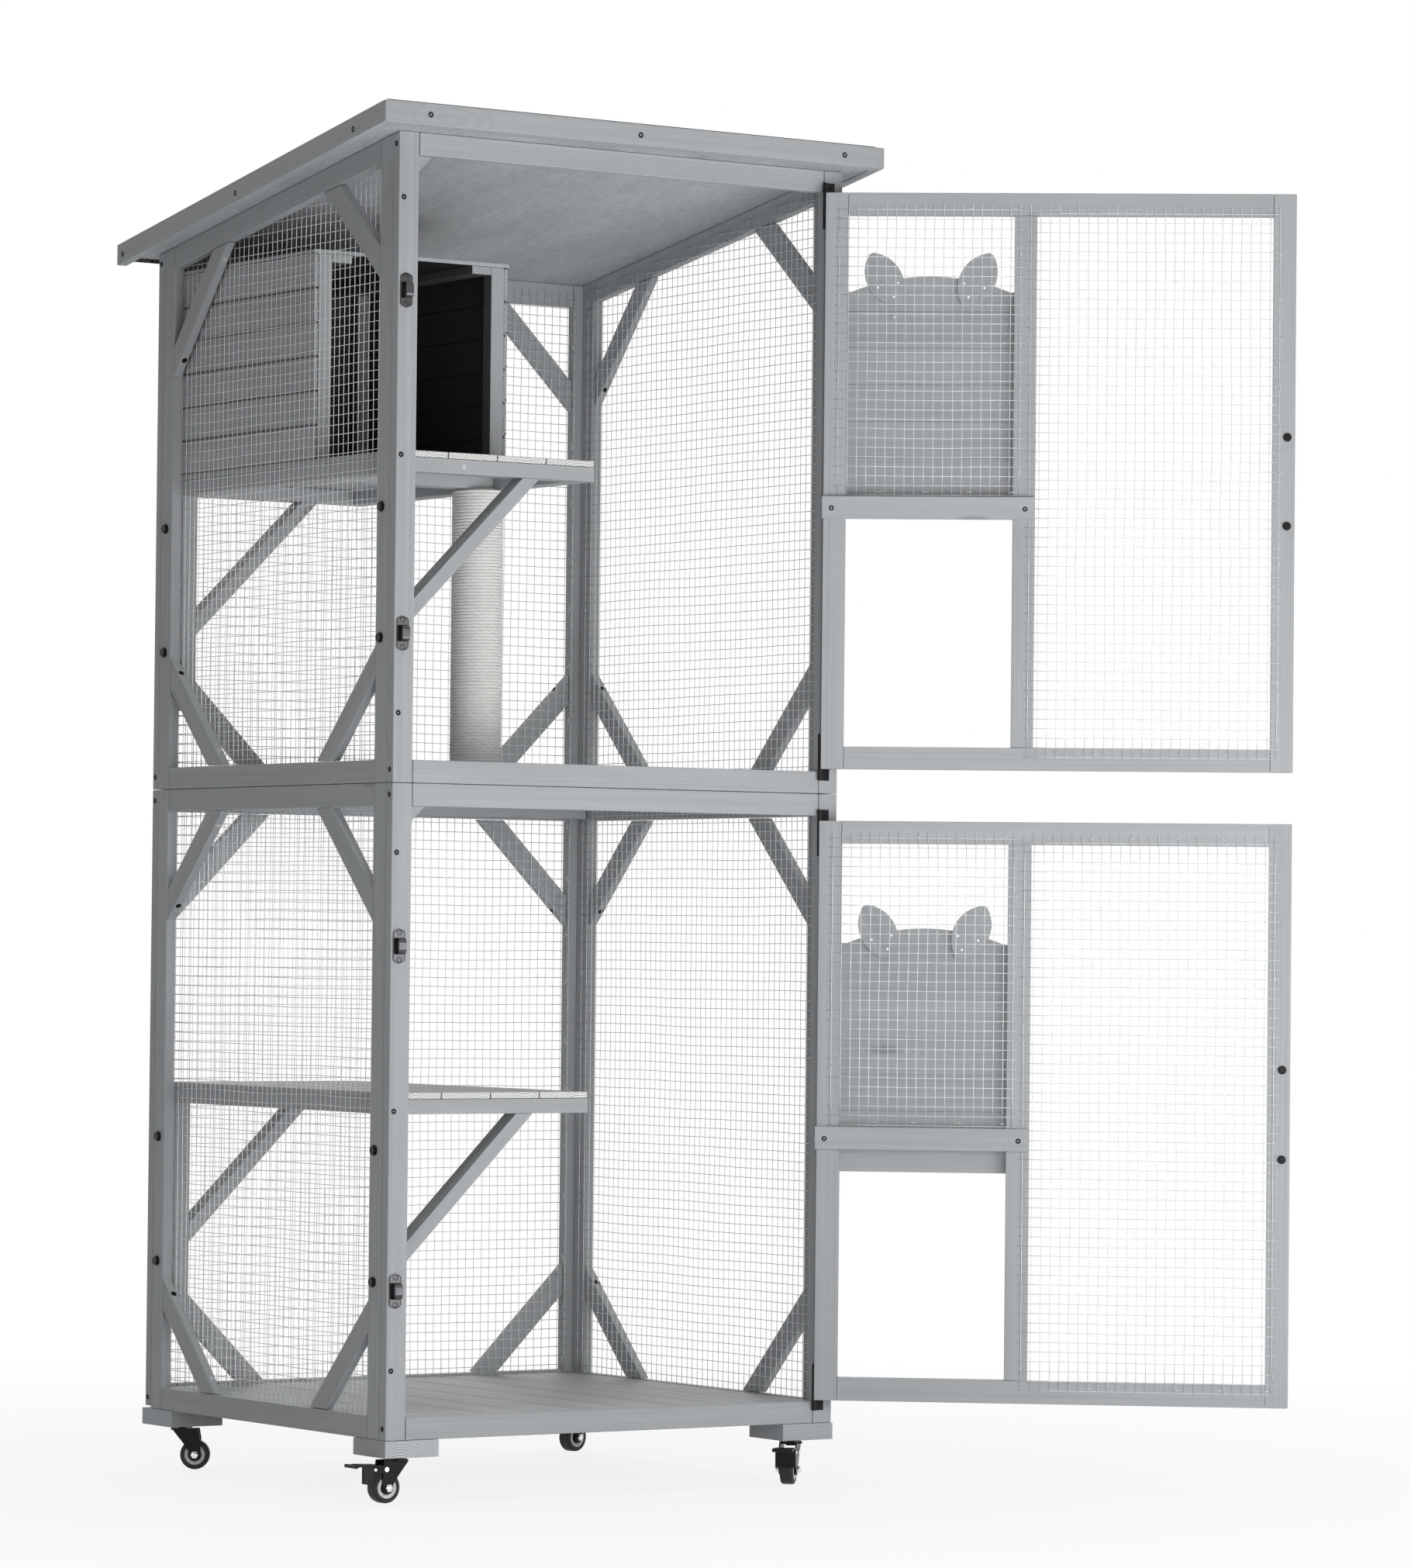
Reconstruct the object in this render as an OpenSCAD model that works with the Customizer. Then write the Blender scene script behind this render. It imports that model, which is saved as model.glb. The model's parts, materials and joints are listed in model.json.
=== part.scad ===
// Two-storey outdoor cat enclosure on casters, with two doors that each hold a sliding hatch.
// Modules draw in the frame's own corner coordinates: X from the left face, Y from the front face
// and Z from the underside of the timber frame. placed() moves them so that the origin lies on the
// ground under the middle of the frame. The doors are drawn shut and swung open by swung().

/* [Body] */
// Width of the timber frame
body_w = 692; // [640:1:800]
// Depth of the timber frame
body_d = 636; // [600:1:760]
// Height of the lower section
section_h = 838; // [800:1:960]
// Height of the upper section at the front
upper_h = 834; // [800:1:960]
// Fall of the roof from the front face to the back face
roof_drop = 104; // [60:1:140]
// Face width of posts and rails
rail_w = 30; // [24:1:34]
// Thickness of the front frames
front_t = 17; // [15:0.5:22]
// Thickness of the side and back walls
wall_t = 15; // [13:0.5:20]
// Height of the back wall's foot above the caster blocks
back_lift = 3; // [0:0.5:6]
// Hairline left at each butt joint between timbers
butt_gap = 0.2; // [0.1:0.05:0.3]

/* [Braces] */
// Width of a corner brace
brace_w = 30; // [22:1:34]
// Thickness of a corner brace
brace_t = 13; // [9:0.5:13]
// Distance from the inner corner to the far edge of a brace
brace_leg = 148; // [110:1:170]
// Visible side of a door stop gusset
gusset_leg = 28; // [20:1:36]
// Thickness of a door stop gusset
gusset_t = 12; // [8:1:16]

/* [Wire mesh] */
// Mesh opening of the real welded mesh
mesh_pitch = 12.7; // [12.7:12.7:25.4]
// Every how many wires one is drawn
mesh_step = 6; // [6:1:8]
// Width of a drawn wire
wire_w = 1.2; // [0.8:0.1:1.6]
// Thickness of the mesh where two wires cross
mesh_t = 1.5; // [1.2:0.1:2]
// Distance from the frame's outer edge to the mesh's edge
mesh_inset = 11; // [8:1:16]

/* [Doors] */
// Gap between a door and the opening's sides
door_gap = 3; // [2:0.5:4]
// Gap under and over a door
door_lift = 2.5; // [2:0.5:4]
// Thickness of a door
door_t = 17; // [15:0.5:20]
// How far a shut door stands in front of the frame
door_proud = 0.5; // [0:0.1:1.5]
// Width of a door's stiles and rails
stile_w = 30; // [26:1:34]
// Distance from the hinge edge to the middle stile
mid_stile_u = 252; // [230:1:280]
// Height of the batten's lower edge above the door's foot
batten_v = 333; // [300:1:360]
// Thickness of the batten
batten_t = 9; // [6:1:12]
// How far the batten ends past the hinge edge
batten_past = 1.5; // [0:0.5:2]
// Opening angle of the upper door at rest
upper_door_angle = 143.3; // [90:0.1:160]
// Opening angle of the lower door at rest
lower_door_angle = 140; // [90:0.1:160]

/* [Hatches] */
// Height of a hatch panel at its shoulders
hatch_h = 303; // [290:1:320]
// Extra height of the arched top
hatch_arch = 21; // [10:1:30]
// Thickness of a hatch panel
hatch_t = 8; // [6:0.5:10]
// Overlap of a hatch panel on each stile
hatch_lap = 10.5; // [8:0.5:12]
// Height of the upper hatch above the door's foot at rest
upper_hatch_v = 335; // [300:1:350]
// Height of the lower hatch above the door's foot at rest
lower_hatch_v = 303; // [280:1:340]
// Height of the ears' tips above the hatch's foot
ear_tip = 355; // [340:1:360]
// Thickness of an ear
ear_t = 6; // [4:0.5:8]

/* [Hinges and bolts] */
// Distance from the opening's side to the hinge pin
pin_inset = 1.5; // [1:0.1:2]
// Distance of the hinge pin in front of the frame
pin_out = 4; // [3.8:0.1:5]
// Radius of a hinge barrel
barrel_r = 3; // [2.5:0.1:3.2]
// Radius of a hinge pin
pin_r = 1.5; // [1.2:0.1:1.8]
// Length of a hinge
hinge_h = 62; // [50:1:70]
// Length of a hinge past the end of its door
hinge_past = 15; // [12:1:18]
// Width of a hinge leaf
leaf_w = 16.5; // [14:0.5:20]
// Thickness of a hinge leaf
leaf_t = 2; // [1.5:0.1:2]
// Radius of a bolt rod
rod_r = 2.5; // [2:0.1:3]
// Height of the upper bolts above the door's foot
bolt_top_v = 597; // [560:1:640]
// Height of the lower bolts above the door's foot
bolt_low_v = 158; // [120:1:200]
// Width of a keeper plate
keeper_w = 18; // [16:1:22]
// Height of a keeper plate
keeper_h = 45; // [40:1:52]
// Distance between the handle's bolts
handle_span = 118; // [90:1:140]
// Height of the handle's middle above the door's foot
handle_v = 386; // [340:1:430]
// Distance from the door's free edge to the handle's axis
handle_in = 10.3; // [9:0.1:16]

/* [Shelves and house] */
// Length of a shelf from the left wall
shelf_len = 297.5; // [260:1:340]
// Height of the lower shelf's top above the frame's underside
lower_shelf_z = 442.5; // [380:1:500]
// Height of the upper shelf's top above the seam between the sections
upper_shelf_h = 428; // [380:1:470]
// Thickness of shelf and floor boards
board_t = 9; // [7:0.5:12]
// Height of a shelf rail
shelf_rail_h = 19; // [16:1:24]
// Depth of a shelf rail
shelf_rail_d = 28; // [22:1:32]
// Number of boards in a shelf
shelf_boards_n = 4; // [3:1:6]
// Width of a shelf leg along X
leg_w = 22.5; // [18:0.5:28]
// Height of a shelf leg
leg_h = 292; // [260:1:320]
// Height from a shelf's underside to the foot of its strut
strut_drop = 190; // [150:1:220]
// Thickness of a strut across its length
strut_w = 18; // [14:1:22]
// Height of the house
house_h = 276; // [240:1:290]
// Distance from the front face to the house front
house_y = 240; // [200:1:280]
// Thickness of the house walls
house_wall_t = 6; // [5:0.5:9]
// Side of a house corner post
house_post = 20; // [16:1:24]
// Thickness of the house roof
house_roof_t = 5; // [4:0.5:8]
// Width of the mid platform
platform_w = 384; // [330:1:400]
// Number of boards in the floor
floor_boards_n = 9; // [6:1:12]
// Number of boards in the mid platform
platform_boards_n = 5; // [4:1:8]
// Height of the battens under floor and platform
batten_h = 18; // [14:1:20]
// Depth of the floor battens
floor_batten_d = 20; // [16:1:26]
// Depth of the mid platform's battens
platform_batten_d = 24; // [18:1:30]

/* [Scratching post] */
// Outer diameter of the rope winding
post_d = 70; // [60:1:80]
// Diameter of the rope
rope_d = 5.5; // [5:0.1:7]
// Number of drawn rope turns
rope_turns = 24; // [12:1:24]
// Distance from the left face to the post's axis
post_x = 271; // [255:1:280]
// Distance from the front face to the post's axis
post_y = 240; // [200:1:280]

/* [Roof] */
// Overhang of the roof at each side
roof_side = 43; // [35:1:60]
// Overhang of the roof at the front
roof_front = 35; // [25:1:50]
// Overhang of the roof at the back
roof_back = 40; // [25:1:50]
// Height of the fascia boards
fascia_h = 28; // [22:1:36]
// Thickness of the fascia boards
fascia_t = 15; // [10:1:20]
// Thickness of the roof's plywood
ply_t = 6; // [4:0.5:9]
// Thickness of the roofing felt
felt_t = 2; // [1.5:0.5:3]
// Extra fall of the fascia boards towards the back
fascia_fall = 6.4; // [0:0.1:12]
// Height of the back board's foot above the side boards' feet
back_fascia_lift = 13; // [0:0.5:16]
// Depth of the felt's flap over the back fascia board
felt_flap = 22; // [18:0.5:28]

/* [Casters] */
// Height of a caster from the ground to its block
caster_h = 60; // [58:1:66]
// Radius of a wheel
wheel_r = 20; // [18:0.5:21]
// Width of a wheel
wheel_w = 18; // [14:1:20]
// Distance from the swivel axis to the wheel's axle
trail = 18; // [14:0.5:20]
// Radius of an axle
axle_r = 3; // [2.5:0.1:3.5]
// Thickness of a caster block
block_t = 22; // [18:1:26]
// Side of a caster block
block_w = 80; // [70:1:90]
// How far the right blocks stand out past the right wall
block_out_right = 2; // [0:0.5:6]
// How far the rear blocks stand out behind the back wall
block_out_back = 7; // [0:0.5:12]
// Direction of the front left caster
front_left_turn = 180; // [0:1:360]
// Direction of the front right caster
front_right_turn = 226; // [0:1:360]
// Direction of the rear left caster
rear_left_turn = 326; // [0:1:360]
// Direction of the rear right caster
rear_right_turn = 15; // [0:1:360]

/* [Hidden] */
$fn = 48;
// Slop that cutters run past a face
eps = 0.5;
// Running clearances of round fits and of sliding parts
bore_gap = 0.05;
slide_gap = 0.3;
// Colours of the stained timber, its end grain, wire and fittings
timber_c = [0.62, 0.64, 0.65];
board_c = [0.7, 0.71, 0.71];
dark_c = [0.1, 0.1, 0.11];
wire_c = [0.75, 0.77, 0.78];
steel_c = [0.8, 0.81, 0.82];
rope_c = [0.86, 0.86, 0.84];
ground_z = caster_h + block_t;
roof_a = atan(roof_drop / body_d);
rail_slope_h = rail_w / cos(roof_a);
back_y = body_d - wall_t;
inner_x0 = wall_t + mesh_t;
inner_x1 = body_w - wall_t - mesh_t;
inner_y0 = front_t + butt_gap;
inner_y1 = back_y - mesh_t;
// Spacing of the drawn wires and their thickness in each of the net's two layers
mesh_cell = mesh_pitch * mesh_step;
wire_gap = 0.1;
wire_t = (mesh_t - wire_gap) / 2;
// Door sizes, from the opening between the front posts
open_w = body_w - 2 * rail_w;
door_w = open_w - 2 * door_gap;
lower_door_room = 4;
lower_door_h = section_h - 2 * rail_w - 2 * door_lift - lower_door_room;
upper_door_h = upper_h - 2 * rail_w - 2 * door_lift;
door_x1 = body_w - rail_w - door_gap;
door_y0 = -door_proud;
door_y1 = door_y0 + door_t;
pin_x = body_w - rail_w - pin_inset;
pin_y = -pin_out;
lower_door_z = rail_w + door_lift;
upper_door_z = section_h + rail_w + door_lift;
// Edges of the two mesh panels on a door's inner face
door_mesh_edge = 13;
door_mesh_free = 15.2;
door_mesh_foot = 17;
door_mesh_top = 15;
door_mesh_lap = 14;
door_mesh_seam = 2;
door_mesh_lift = 1.5;
left_mesh_x0 = door_x1 - mid_stile_u - door_mesh_lap;
free_mesh_x0 = door_x1 - door_w + door_mesh_free;
// Hatch guides on the door's outer face
guide_lip = 8;
guide_base = 5.5;
guide_lip_t = 4.2;
guide_t = hatch_t + 2 * slide_gap + guide_lip_t;
hatch_x0 = door_x1 - mid_stile_u - hatch_lap;
hatch_x1 = door_x1 - stile_w + hatch_lap;
guide_top_in = 34;
guide_foot_v = 17;
hatch_stop_v = 29.7;
// Space left round boards and between them
board_edge = 0.5;
board_seam = 0.4;
floor_z = rail_w - board_edge;
board_y0 = inner_y0 + slide_gap;
// Shelf places, clear of the handle's nuts when a door is shut
handle_nut_h = 3.5;
shelf_x0 = inner_x0;
shelf_x1 = shelf_x0 + shelf_len;
shelf_y0 = door_y1 + handle_nut_h + slide_gap;
shelf_y1 = inner_y1 - board_edge;
upper_shelf_z = section_h + upper_shelf_h;
leg_d = 30;
shelf_t = board_t + shelf_rail_h;
shelf_bolt_drops = [46, 214];
shelf_bolt_ys = [shelf_y0 + leg_d / 2, shelf_y1 - 12];
shelf_bolt_r = 3;
house_x0 = shelf_x0;
house_over = 0.5;
house_back = 2;
house_x1 = shelf_x1 + house_over;
house_y1 = shelf_y1 - house_back;
platform_z = section_h;
platform_x1 = inner_x0 + platform_w;
// Scratching post between the mid platform and the upper shelf
rope_r = post_d / 2 - rope_d / 2;
core_gap = 0.5;
core_r = rope_r - rope_d / 2 - core_gap;
post_z0 = platform_z;
post_z1 = upper_shelf_z - shelf_t;
rope_pitch = (post_z1 - post_z0 - 2 * rope_d) / rope_turns;
rope_rings = 24;
rope_sides = 6;
// Roof box
roof_x0 = -roof_side;
roof_x1 = body_w + roof_side;
roof_y0 = -roof_front;
roof_y1 = body_d + roof_back;
fascia_drop = 1.4;
fascia_top = fascia_h - fascia_drop;
roof_seat = 0.1;
knuckle_gap = 0.3;
leaf_clear = barrel_r + knuckle_gap;
door_leaf_w = leaf_w - 2;
// Bolts and keepers
bolt_w = 29;
bolt_h = 40;
bolt_plate_t = 1.5;
loop_w = 2;
loop_step = 4.6;
loop_wall = 1.4;
rod_x = door_x1 - door_w + door_proud;
bolt_x = rod_x + bolt_w / 2;
rod_y = door_y0 - 2 * bolt_plate_t - rod_r;
rod_len = 29.4;
knob_r = 1.75;
knob_len = 9;
knob_x = rod_x + rod_len - knob_r;
screw_hole_r = 1.7;
keeper_x = 12;
keeper_t = 1.5;
bridge_w = 12;
bridge_half = 8.4;
bridge_wall = 2;
bridge_room = 1;
// Caster parts, in a frame with the swivel axis at the origin and the wheel along +X
cap_t = 2.6;
cap_r = 15.5;
stem_r = 4;
stem_len = 18;
rivet_r = 4;
race_gap = 2;
fork_top_z = caster_h - cap_t - race_gap;
flange_t = 2.4;
rivet_head_r = 7;
rivet_head_h = 2.3;
rivet_z = fork_top_z - flange_t - rivet_head_h - slide_gap;
fork_in = wheel_w / 2 + 1;
fork_t = 2;
nut_r = 5;
brake_pin_x = 22;
brake_pin_z = 44;
brake_pin_r = 2;
shoe_gap = 2;
brake_x = trail + wheel_r + shoe_gap;
brake_tip = 70;
cheek_in = fork_in + fork_t + slide_gap;
cheek_t = 1.5;
block_x1 = body_w - block_w + block_out_right;
block_y1 = body_d - block_w + block_out_back;
block_lows = [[0, 0], [block_x1, 0], [0, block_y1], [block_x1, block_y1]];
swivels = [for (low = block_lows) low + [block_w / 2, block_w / 2]];
turns = [front_left_turn, front_right_turn, rear_left_turn, rear_right_turn];

// Height of the roof plane over a depth
function roof_z(y) = section_h + upper_h - roof_drop * y / body_d;

// Height that the fascia boards follow over a depth
function edge_z(y) = roof_z(y) - fascia_fall * (y - roof_y0) / (roof_y1 - roof_y0);

// Feet of a door's two hinges above its own foot
function hinge_feet(h) = [-hinge_past, h + hinge_past - hinge_h];

// Moves frame coordinates to the part's origin on the ground
module placed() {
    translate([-body_w / 2, -body_d / 2, ground_z]) children();
}

// Extrudes an outline drawn as depth and height along X
module yz(x0, t) {
    translate([x0, 0, 0]) rotate([90, 0, 90]) linear_extrude(t) children();
}

// Extrudes an outline drawn as width and height along Y
module xz(y0, t) {
    translate([0, y0 + t, 0]) rotate([90, 0, 0]) linear_extrude(t) children();
}

// Box between two corners
module bar(low, high) {
    translate(low) cube(high - low);
}

// Outline of a brace across the corner c between the directions a and b
module brace_outline(c, a, b) {
    near = brace_leg - brace_w * sqrt(2);
    o = c + butt_gap * (a + b);
    polygon([o + near * a, o + brace_leg * a, o + brace_leg * b, o + near * b]);
}

// Four braces inside an opening whose upper side may slope by the roof's angle
module brace_set(y0, y1, z0, z1a, z1b, fall) {
    brace_outline([y0, z0], [1, 0], [0, 1]);
    brace_outline([y1, z0], [-1, 0], [0, 1]);
    brace_outline([y0, z1a], [cos(fall), -sin(fall)], [0, -1]);
    brace_outline([y1, z1b], [-cos(fall), sin(fall)], [0, -1]);
}

// Front frame of one section, two posts and two rails
module front_frame(upper) {
    z0 = upper ? section_h : 0;
    za = upper ? roof_z(0) : section_h;
    zb = upper ? roof_z(front_t) : section_h;
    color(timber_c) {
        for (x = [0, body_w - rail_w])
            yz(x, rail_w) polygon([[0, z0], [front_t, z0], [front_t, zb], [0, za]]);
        yz(rail_w + butt_gap, open_w - 2 * butt_gap) {
            polygon([[0, z0], [front_t, z0], [front_t, z0 + rail_w], [0, z0 + rail_w]]);
            polygon([[0, za - rail_w], [front_t, za - rail_w], [front_t, zb], [0, za]]);
        }
    }
}

// Side wall of one section, two posts, two rails and four braces
module side_wall(upper, right) {
    x0 = right ? body_w - wall_t : 0;
    z0 = upper ? section_h : 0;
    fall = upper ? roof_a : 0;
    ya = front_t + butt_gap;
    yb = back_y - butt_gap;
    yc = ya + rail_w;
    yd = yb - rail_w;
    g = butt_gap;
    ta = top_z(upper, ya);
    tb = top_z(upper, yb);
    tc = top_z(upper, yc);
    td = top_z(upper, yd);
    rail_v = upper ? rail_slope_h : rail_w;
    color(timber_c) {
        yz(x0, wall_t) {
            polygon([[ya, z0], [yc, z0], [yc, tc], [ya, ta]]);
            polygon([[yd, z0], [yb, z0], [yb, tb], [yd, td]]);
            polygon([[yc + g, z0], [yd - g, z0], [yd - g, z0 + rail_w], [yc + g, z0 + rail_w]]);
            polygon([[yc + g, tc - rail_v], [yd - g, td - rail_v], [yd - g, td], [yc + g, tc]]);
        }
        yz(right ? body_w - brace_t : 0, brace_t)
            brace_set(yc, yd, z0 + rail_w, tc - rail_v, td - rail_v, fall);
    }
}

// Top of a section's walls over a depth
function top_z(upper, y) = upper ? roof_z(y) : section_h;

// Back wall of one section, as wide as the frame
module back_wall(upper) {
    z0 = upper ? section_h : back_lift;
    za = top_z(upper, back_y);
    zb = top_z(upper, body_d);
    under = zb - rail_w;
    color(timber_c) {
        for (x = [0, body_w - rail_w])
            yz(x, rail_w) polygon([[back_y, z0], [body_d, z0], [body_d, zb], [back_y, za]]);
        yz(rail_w + butt_gap, open_w - 2 * butt_gap) {
            polygon([[back_y, z0], [body_d, z0], [body_d, z0 + rail_w], [back_y, z0 + rail_w]]);
            polygon([[back_y, under], [body_d, under], [body_d, zb], [back_y, za]]);
        }
        xz(body_d - brace_t, brace_t)
            brace_set(rail_w, body_w - rail_w, z0 + rail_w, under, under, 0);
    }
}

// Upright wires of a net between two sides, a foot and the heights of its two upper corners
module uprights(a0, a1, z0, za, zb) {
    slope = (zb - za) / (a1 - a0);
    for (a = concat([for (p = [a0 : mesh_cell : a1 - mesh_cell / 4]) p], [a1 - wire_w]))
        polygon([[a, z0], [a + wire_w, z0], [a + wire_w, za + slope * (a + wire_w - a0)],
            [a, za + slope * (a - a0)]]);
}

// Level wires of the same net, with one along its upper edge
module crosswires(a0, a1, z0, za, zb) {
    under = wire_w + slide_gap;
    intersection() {
        polygon([[a0, z0], [a1, z0], [a1, zb - under], [a0, za - under]]);
        for (z = [z0 : mesh_cell : max(za, zb) - mesh_cell / 4])
            translate([a0, z]) square([a1 - a0, wire_w]);
    }
    polygon([[a0, za - wire_w], [a1, zb - wire_w], [a1, zb], [a0, za]]);
}

// Mesh panels stapled inside the three walls of one section
module wall_mesh(upper) {
    z0 = (upper ? section_h : back_lift) + mesh_inset;
    ya = front_t + mesh_inset;
    yb = back_y - mesh_inset;
    za = top_z(upper, ya) - mesh_inset;
    zb = top_z(upper, yb) - mesh_inset;
    zr = top_z(upper, back_y) - mesh_inset;
    xa = wall_t + mesh_inset;
    color(wire_c) {
        for (x = [wall_t, body_w - wall_t - mesh_t]) {
            yz(x, wire_t) uprights(ya, yb, z0, za, zb);
            yz(x + mesh_t - wire_t, wire_t) crosswires(ya, yb, z0, za, zb);
        }
        xz(back_y - mesh_t, wire_t) uprights(xa, body_w - xa, z0, zr, zr);
        xz(back_y - wire_t, wire_t) crosswires(xa, body_w - xa, z0, zr, zr);
    }
}

// Three-cornered stops behind the upper left corner of each front opening
module door_stop_gussets() {
    reach = 2.5;
    color(timber_c) {
        for (top = [section_h - rail_w, roof_z(0) - rail_w]) {
            corner_z = top + reach;
            far_x = rail_w + gusset_leg + reach;
            side = far_x - inner_x0;
            xz(front_t, gusset_t)
                polygon([[inner_x0, corner_z - side], [far_x, corner_z], [inner_x0, corner_z]]);
        }
    }
}

// Boards side by side along X that run from front to back
module boards(x0, x1, y0, y1, z1, n) {
    pitch = (x1 - x0) / n;
    color(board_c) {
        for (i = [0 : n - 1])
            bar([x0 + i * pitch, y0, z1 - board_t], [x0 + (i + 1) * pitch - board_seam, y1, z1]);
    }
}

module floor_boards() {
    boards(inner_x0 + board_edge, inner_x1 - board_edge + board_seam, board_y0, shelf_y1, floor_z,
        floor_boards_n);
}

// Battens that carry the floor boards at the front, middle and back
module floor_battens() {
    z1 = floor_z - board_t;
    last_y = inner_y1 - floor_batten_d;
    color(timber_c) {
        for (y = [front_t, (front_t + last_y) / 2, last_y])
            bar([inner_x0, y, z1 - batten_h], [inner_x1, y + floor_batten_d, z1]);
    }
}

module mid_platform_boards() {
    boards(inner_x0 + board_edge, platform_x1, board_y0, shelf_y1, platform_z, platform_boards_n);
}

// Battens under the mid platform that span between the side walls
module mid_platform_battens() {
    z1 = platform_z - board_t;
    color(timber_c) {
        for (y = [front_t + gusset_t + slide_gap, inner_y1 - platform_batten_d])
            bar([inner_x0, y, z1 - batten_h], [inner_x1, y + platform_batten_d, z1]);
    }
}

module shelf_boards(z1) {
    boards(shelf_x0, shelf_x1, shelf_y0, shelf_y1, z1, shelf_boards_n);
}

// Rails under a shelf, its legs on the left wall and its two struts
module shelf_frame(z1, mid_batten) {
    under = z1 - board_t;
    foot = under - shelf_rail_h;
    leg_x1 = shelf_x0 + leg_w;
    g = butt_gap;
    slant = strut_w * sqrt(2);
    yf = shelf_y0 + shelf_rail_d;
    yb = shelf_y1 - shelf_rail_d;
    color(timber_c) {
        bar([shelf_x0, shelf_y0, foot], [shelf_x1, yf, under]);
        bar([shelf_x0, yb, foot], [shelf_x1, shelf_y1, under]);
        bar([shelf_x1 - shelf_rail_d, yf + g, foot], [shelf_x1, yb - g, under]);
        bar([shelf_x0, yf + g, foot], [shelf_x0 + shelf_rail_d, yb - g, under]);
        if (mid_batten)
            bar([shelf_x0 + shelf_rail_d + g, post_y - leg_d / 2, foot],
                [shelf_x1 - shelf_rail_d - g, post_y + leg_d / 2, under]);
        for (y = [shelf_y0, shelf_y1 - leg_d])
            bar([shelf_x0, y, foot - leg_h], [leg_x1, y + leg_d, foot - g]);
        for (y = [shelf_y0, shelf_y1 - shelf_rail_d])
            xz(y, shelf_rail_d)
                polygon([[leg_x1 + g, foot - strut_drop], [leg_x1 + g + strut_drop, foot - g],
                    [leg_x1 + g + strut_drop - slant, foot - g],
                    [leg_x1 + g, foot - strut_drop + slant]]);
    }
}

// Bolts that hold the shelf legs to the left wall, with head, washer and nut
module shelf_bolts() {
    color(dark_c) {
        for (z1 = [lower_shelf_z, upper_shelf_z], drop = shelf_bolt_drops, y = shelf_bolt_ys)
            translate([0, y, z1 - shelf_t - drop]) rotate([0, 90, 0]) shelf_bolt();
    }
}

// One bolt along +Z with its head below the origin
module shelf_bolt() {
    grip = shelf_x0 + leg_w;
    washer_t = 1;
    head_r = 5.5;
    head_h = 3;
    translate([0, 0, -washer_t]) cylinder(r = head_r + 1.5, h = washer_t);
    translate([0, 0, -washer_t - head_h]) cylinder(r = head_r, h = head_h);
    cylinder(r = shelf_bolt_r, h = grip + 1.5 * head_h);
    translate([0, 0, grip]) cylinder(r = head_r, h = head_h, $fn = 6);
}

module scratching_post_core() {
    color(board_c) translate([post_x, post_y, post_z0]) cylinder(r = core_r, h = post_z1 - post_z0);
}

// Centre of the rope at a count of rings from its first
function rope_point(i) =
    let (a = 360 * i / rope_rings)
    [rope_r * cos(a), rope_r * sin(a), rope_d + rope_pitch * i / rope_rings];

// Direction of the rope at a ring
function rope_way(i) =
    let (a = 360 * i / rope_rings, v = [-sin(a), cos(a), rope_pitch / (2 * PI * rope_r)])
    v / norm(v);

// Rings along the rope, with one straight ring past each end
function rope_ring_at(p, w, a) =
    let (n = [cos(a), sin(a), 0], b = cross(w, n))
    [for (k = [0 : rope_sides - 1])
        let (t = 360 * k / rope_sides) p + rope_d / 2 * (cos(t) * n + sin(t) * b)];

// The rope as one unbroken tube wound round the core
module scratching_post_rope() {
    last = rope_turns * rope_rings;
    p = [for (i = [0 : last]) rope_point(i)];
    w = [for (i = [0 : last]) rope_way(i)];
    rings = [
        rope_ring_at(p[0] - rope_d * w[0], w[0], 0),
        for (i = [0 : last]) rope_ring_at(p[i], w[i], 360 * i / rope_rings),
        rope_ring_at(p[last] + rope_d * w[last], w[last], 360 * last / rope_rings)];
    count = len(rings);
    s = rope_sides;
    points = [for (ring = rings) each ring];
    faces = [
        for (k = [1 : s - 2]) [0, k, k + 1],
        for (i = [0 : count - 2], k = [0 : s - 1])
            each [[i * s + k, (i + 1) * s + k, (i + 1) * s + (k + 1) % s],
                [i * s + k, (i + 1) * s + (k + 1) % s, i * s + (k + 1) % s]],
        for (k = [1 : s - 2]) [(count - 1) * s, (count - 1) * s + k + 1, (count - 1) * s + k]];
    gap = min([for (i = [0 : rope_rings], j = [i + rope_rings / 2 : min(last, i + 3 * rope_rings)])
        norm(p[i] - p[j])]) - rope_d;
    echo(rope_gap_mm = gap);
    color(rope_c) translate([post_x, post_y, post_z0]) polyhedron(points, faces);
}

// Boarded side and back walls of the house, drawn as boards one above another
module house_walls() {
    z0 = upper_shelf_z;
    z1 = z0 + house_h - house_roof_t;
    n = 6;
    pitch = (z1 - z0) / n;
    t = house_wall_t;
    seam = 0.5;
    color(timber_c) {
        for (i = [0 : n - 1]) {
            za = z0 + i * pitch;
            zb = za + pitch - seam;
            for (x = [house_x0, house_x1 - t])
                bar([x, house_y, za], [x + t, house_y1, zb]);
            bar([house_x0 + t + butt_gap, house_y1 - t, za],
                [house_x1 - t - butt_gap, house_y1, zb]);
        }
    }
}

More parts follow.
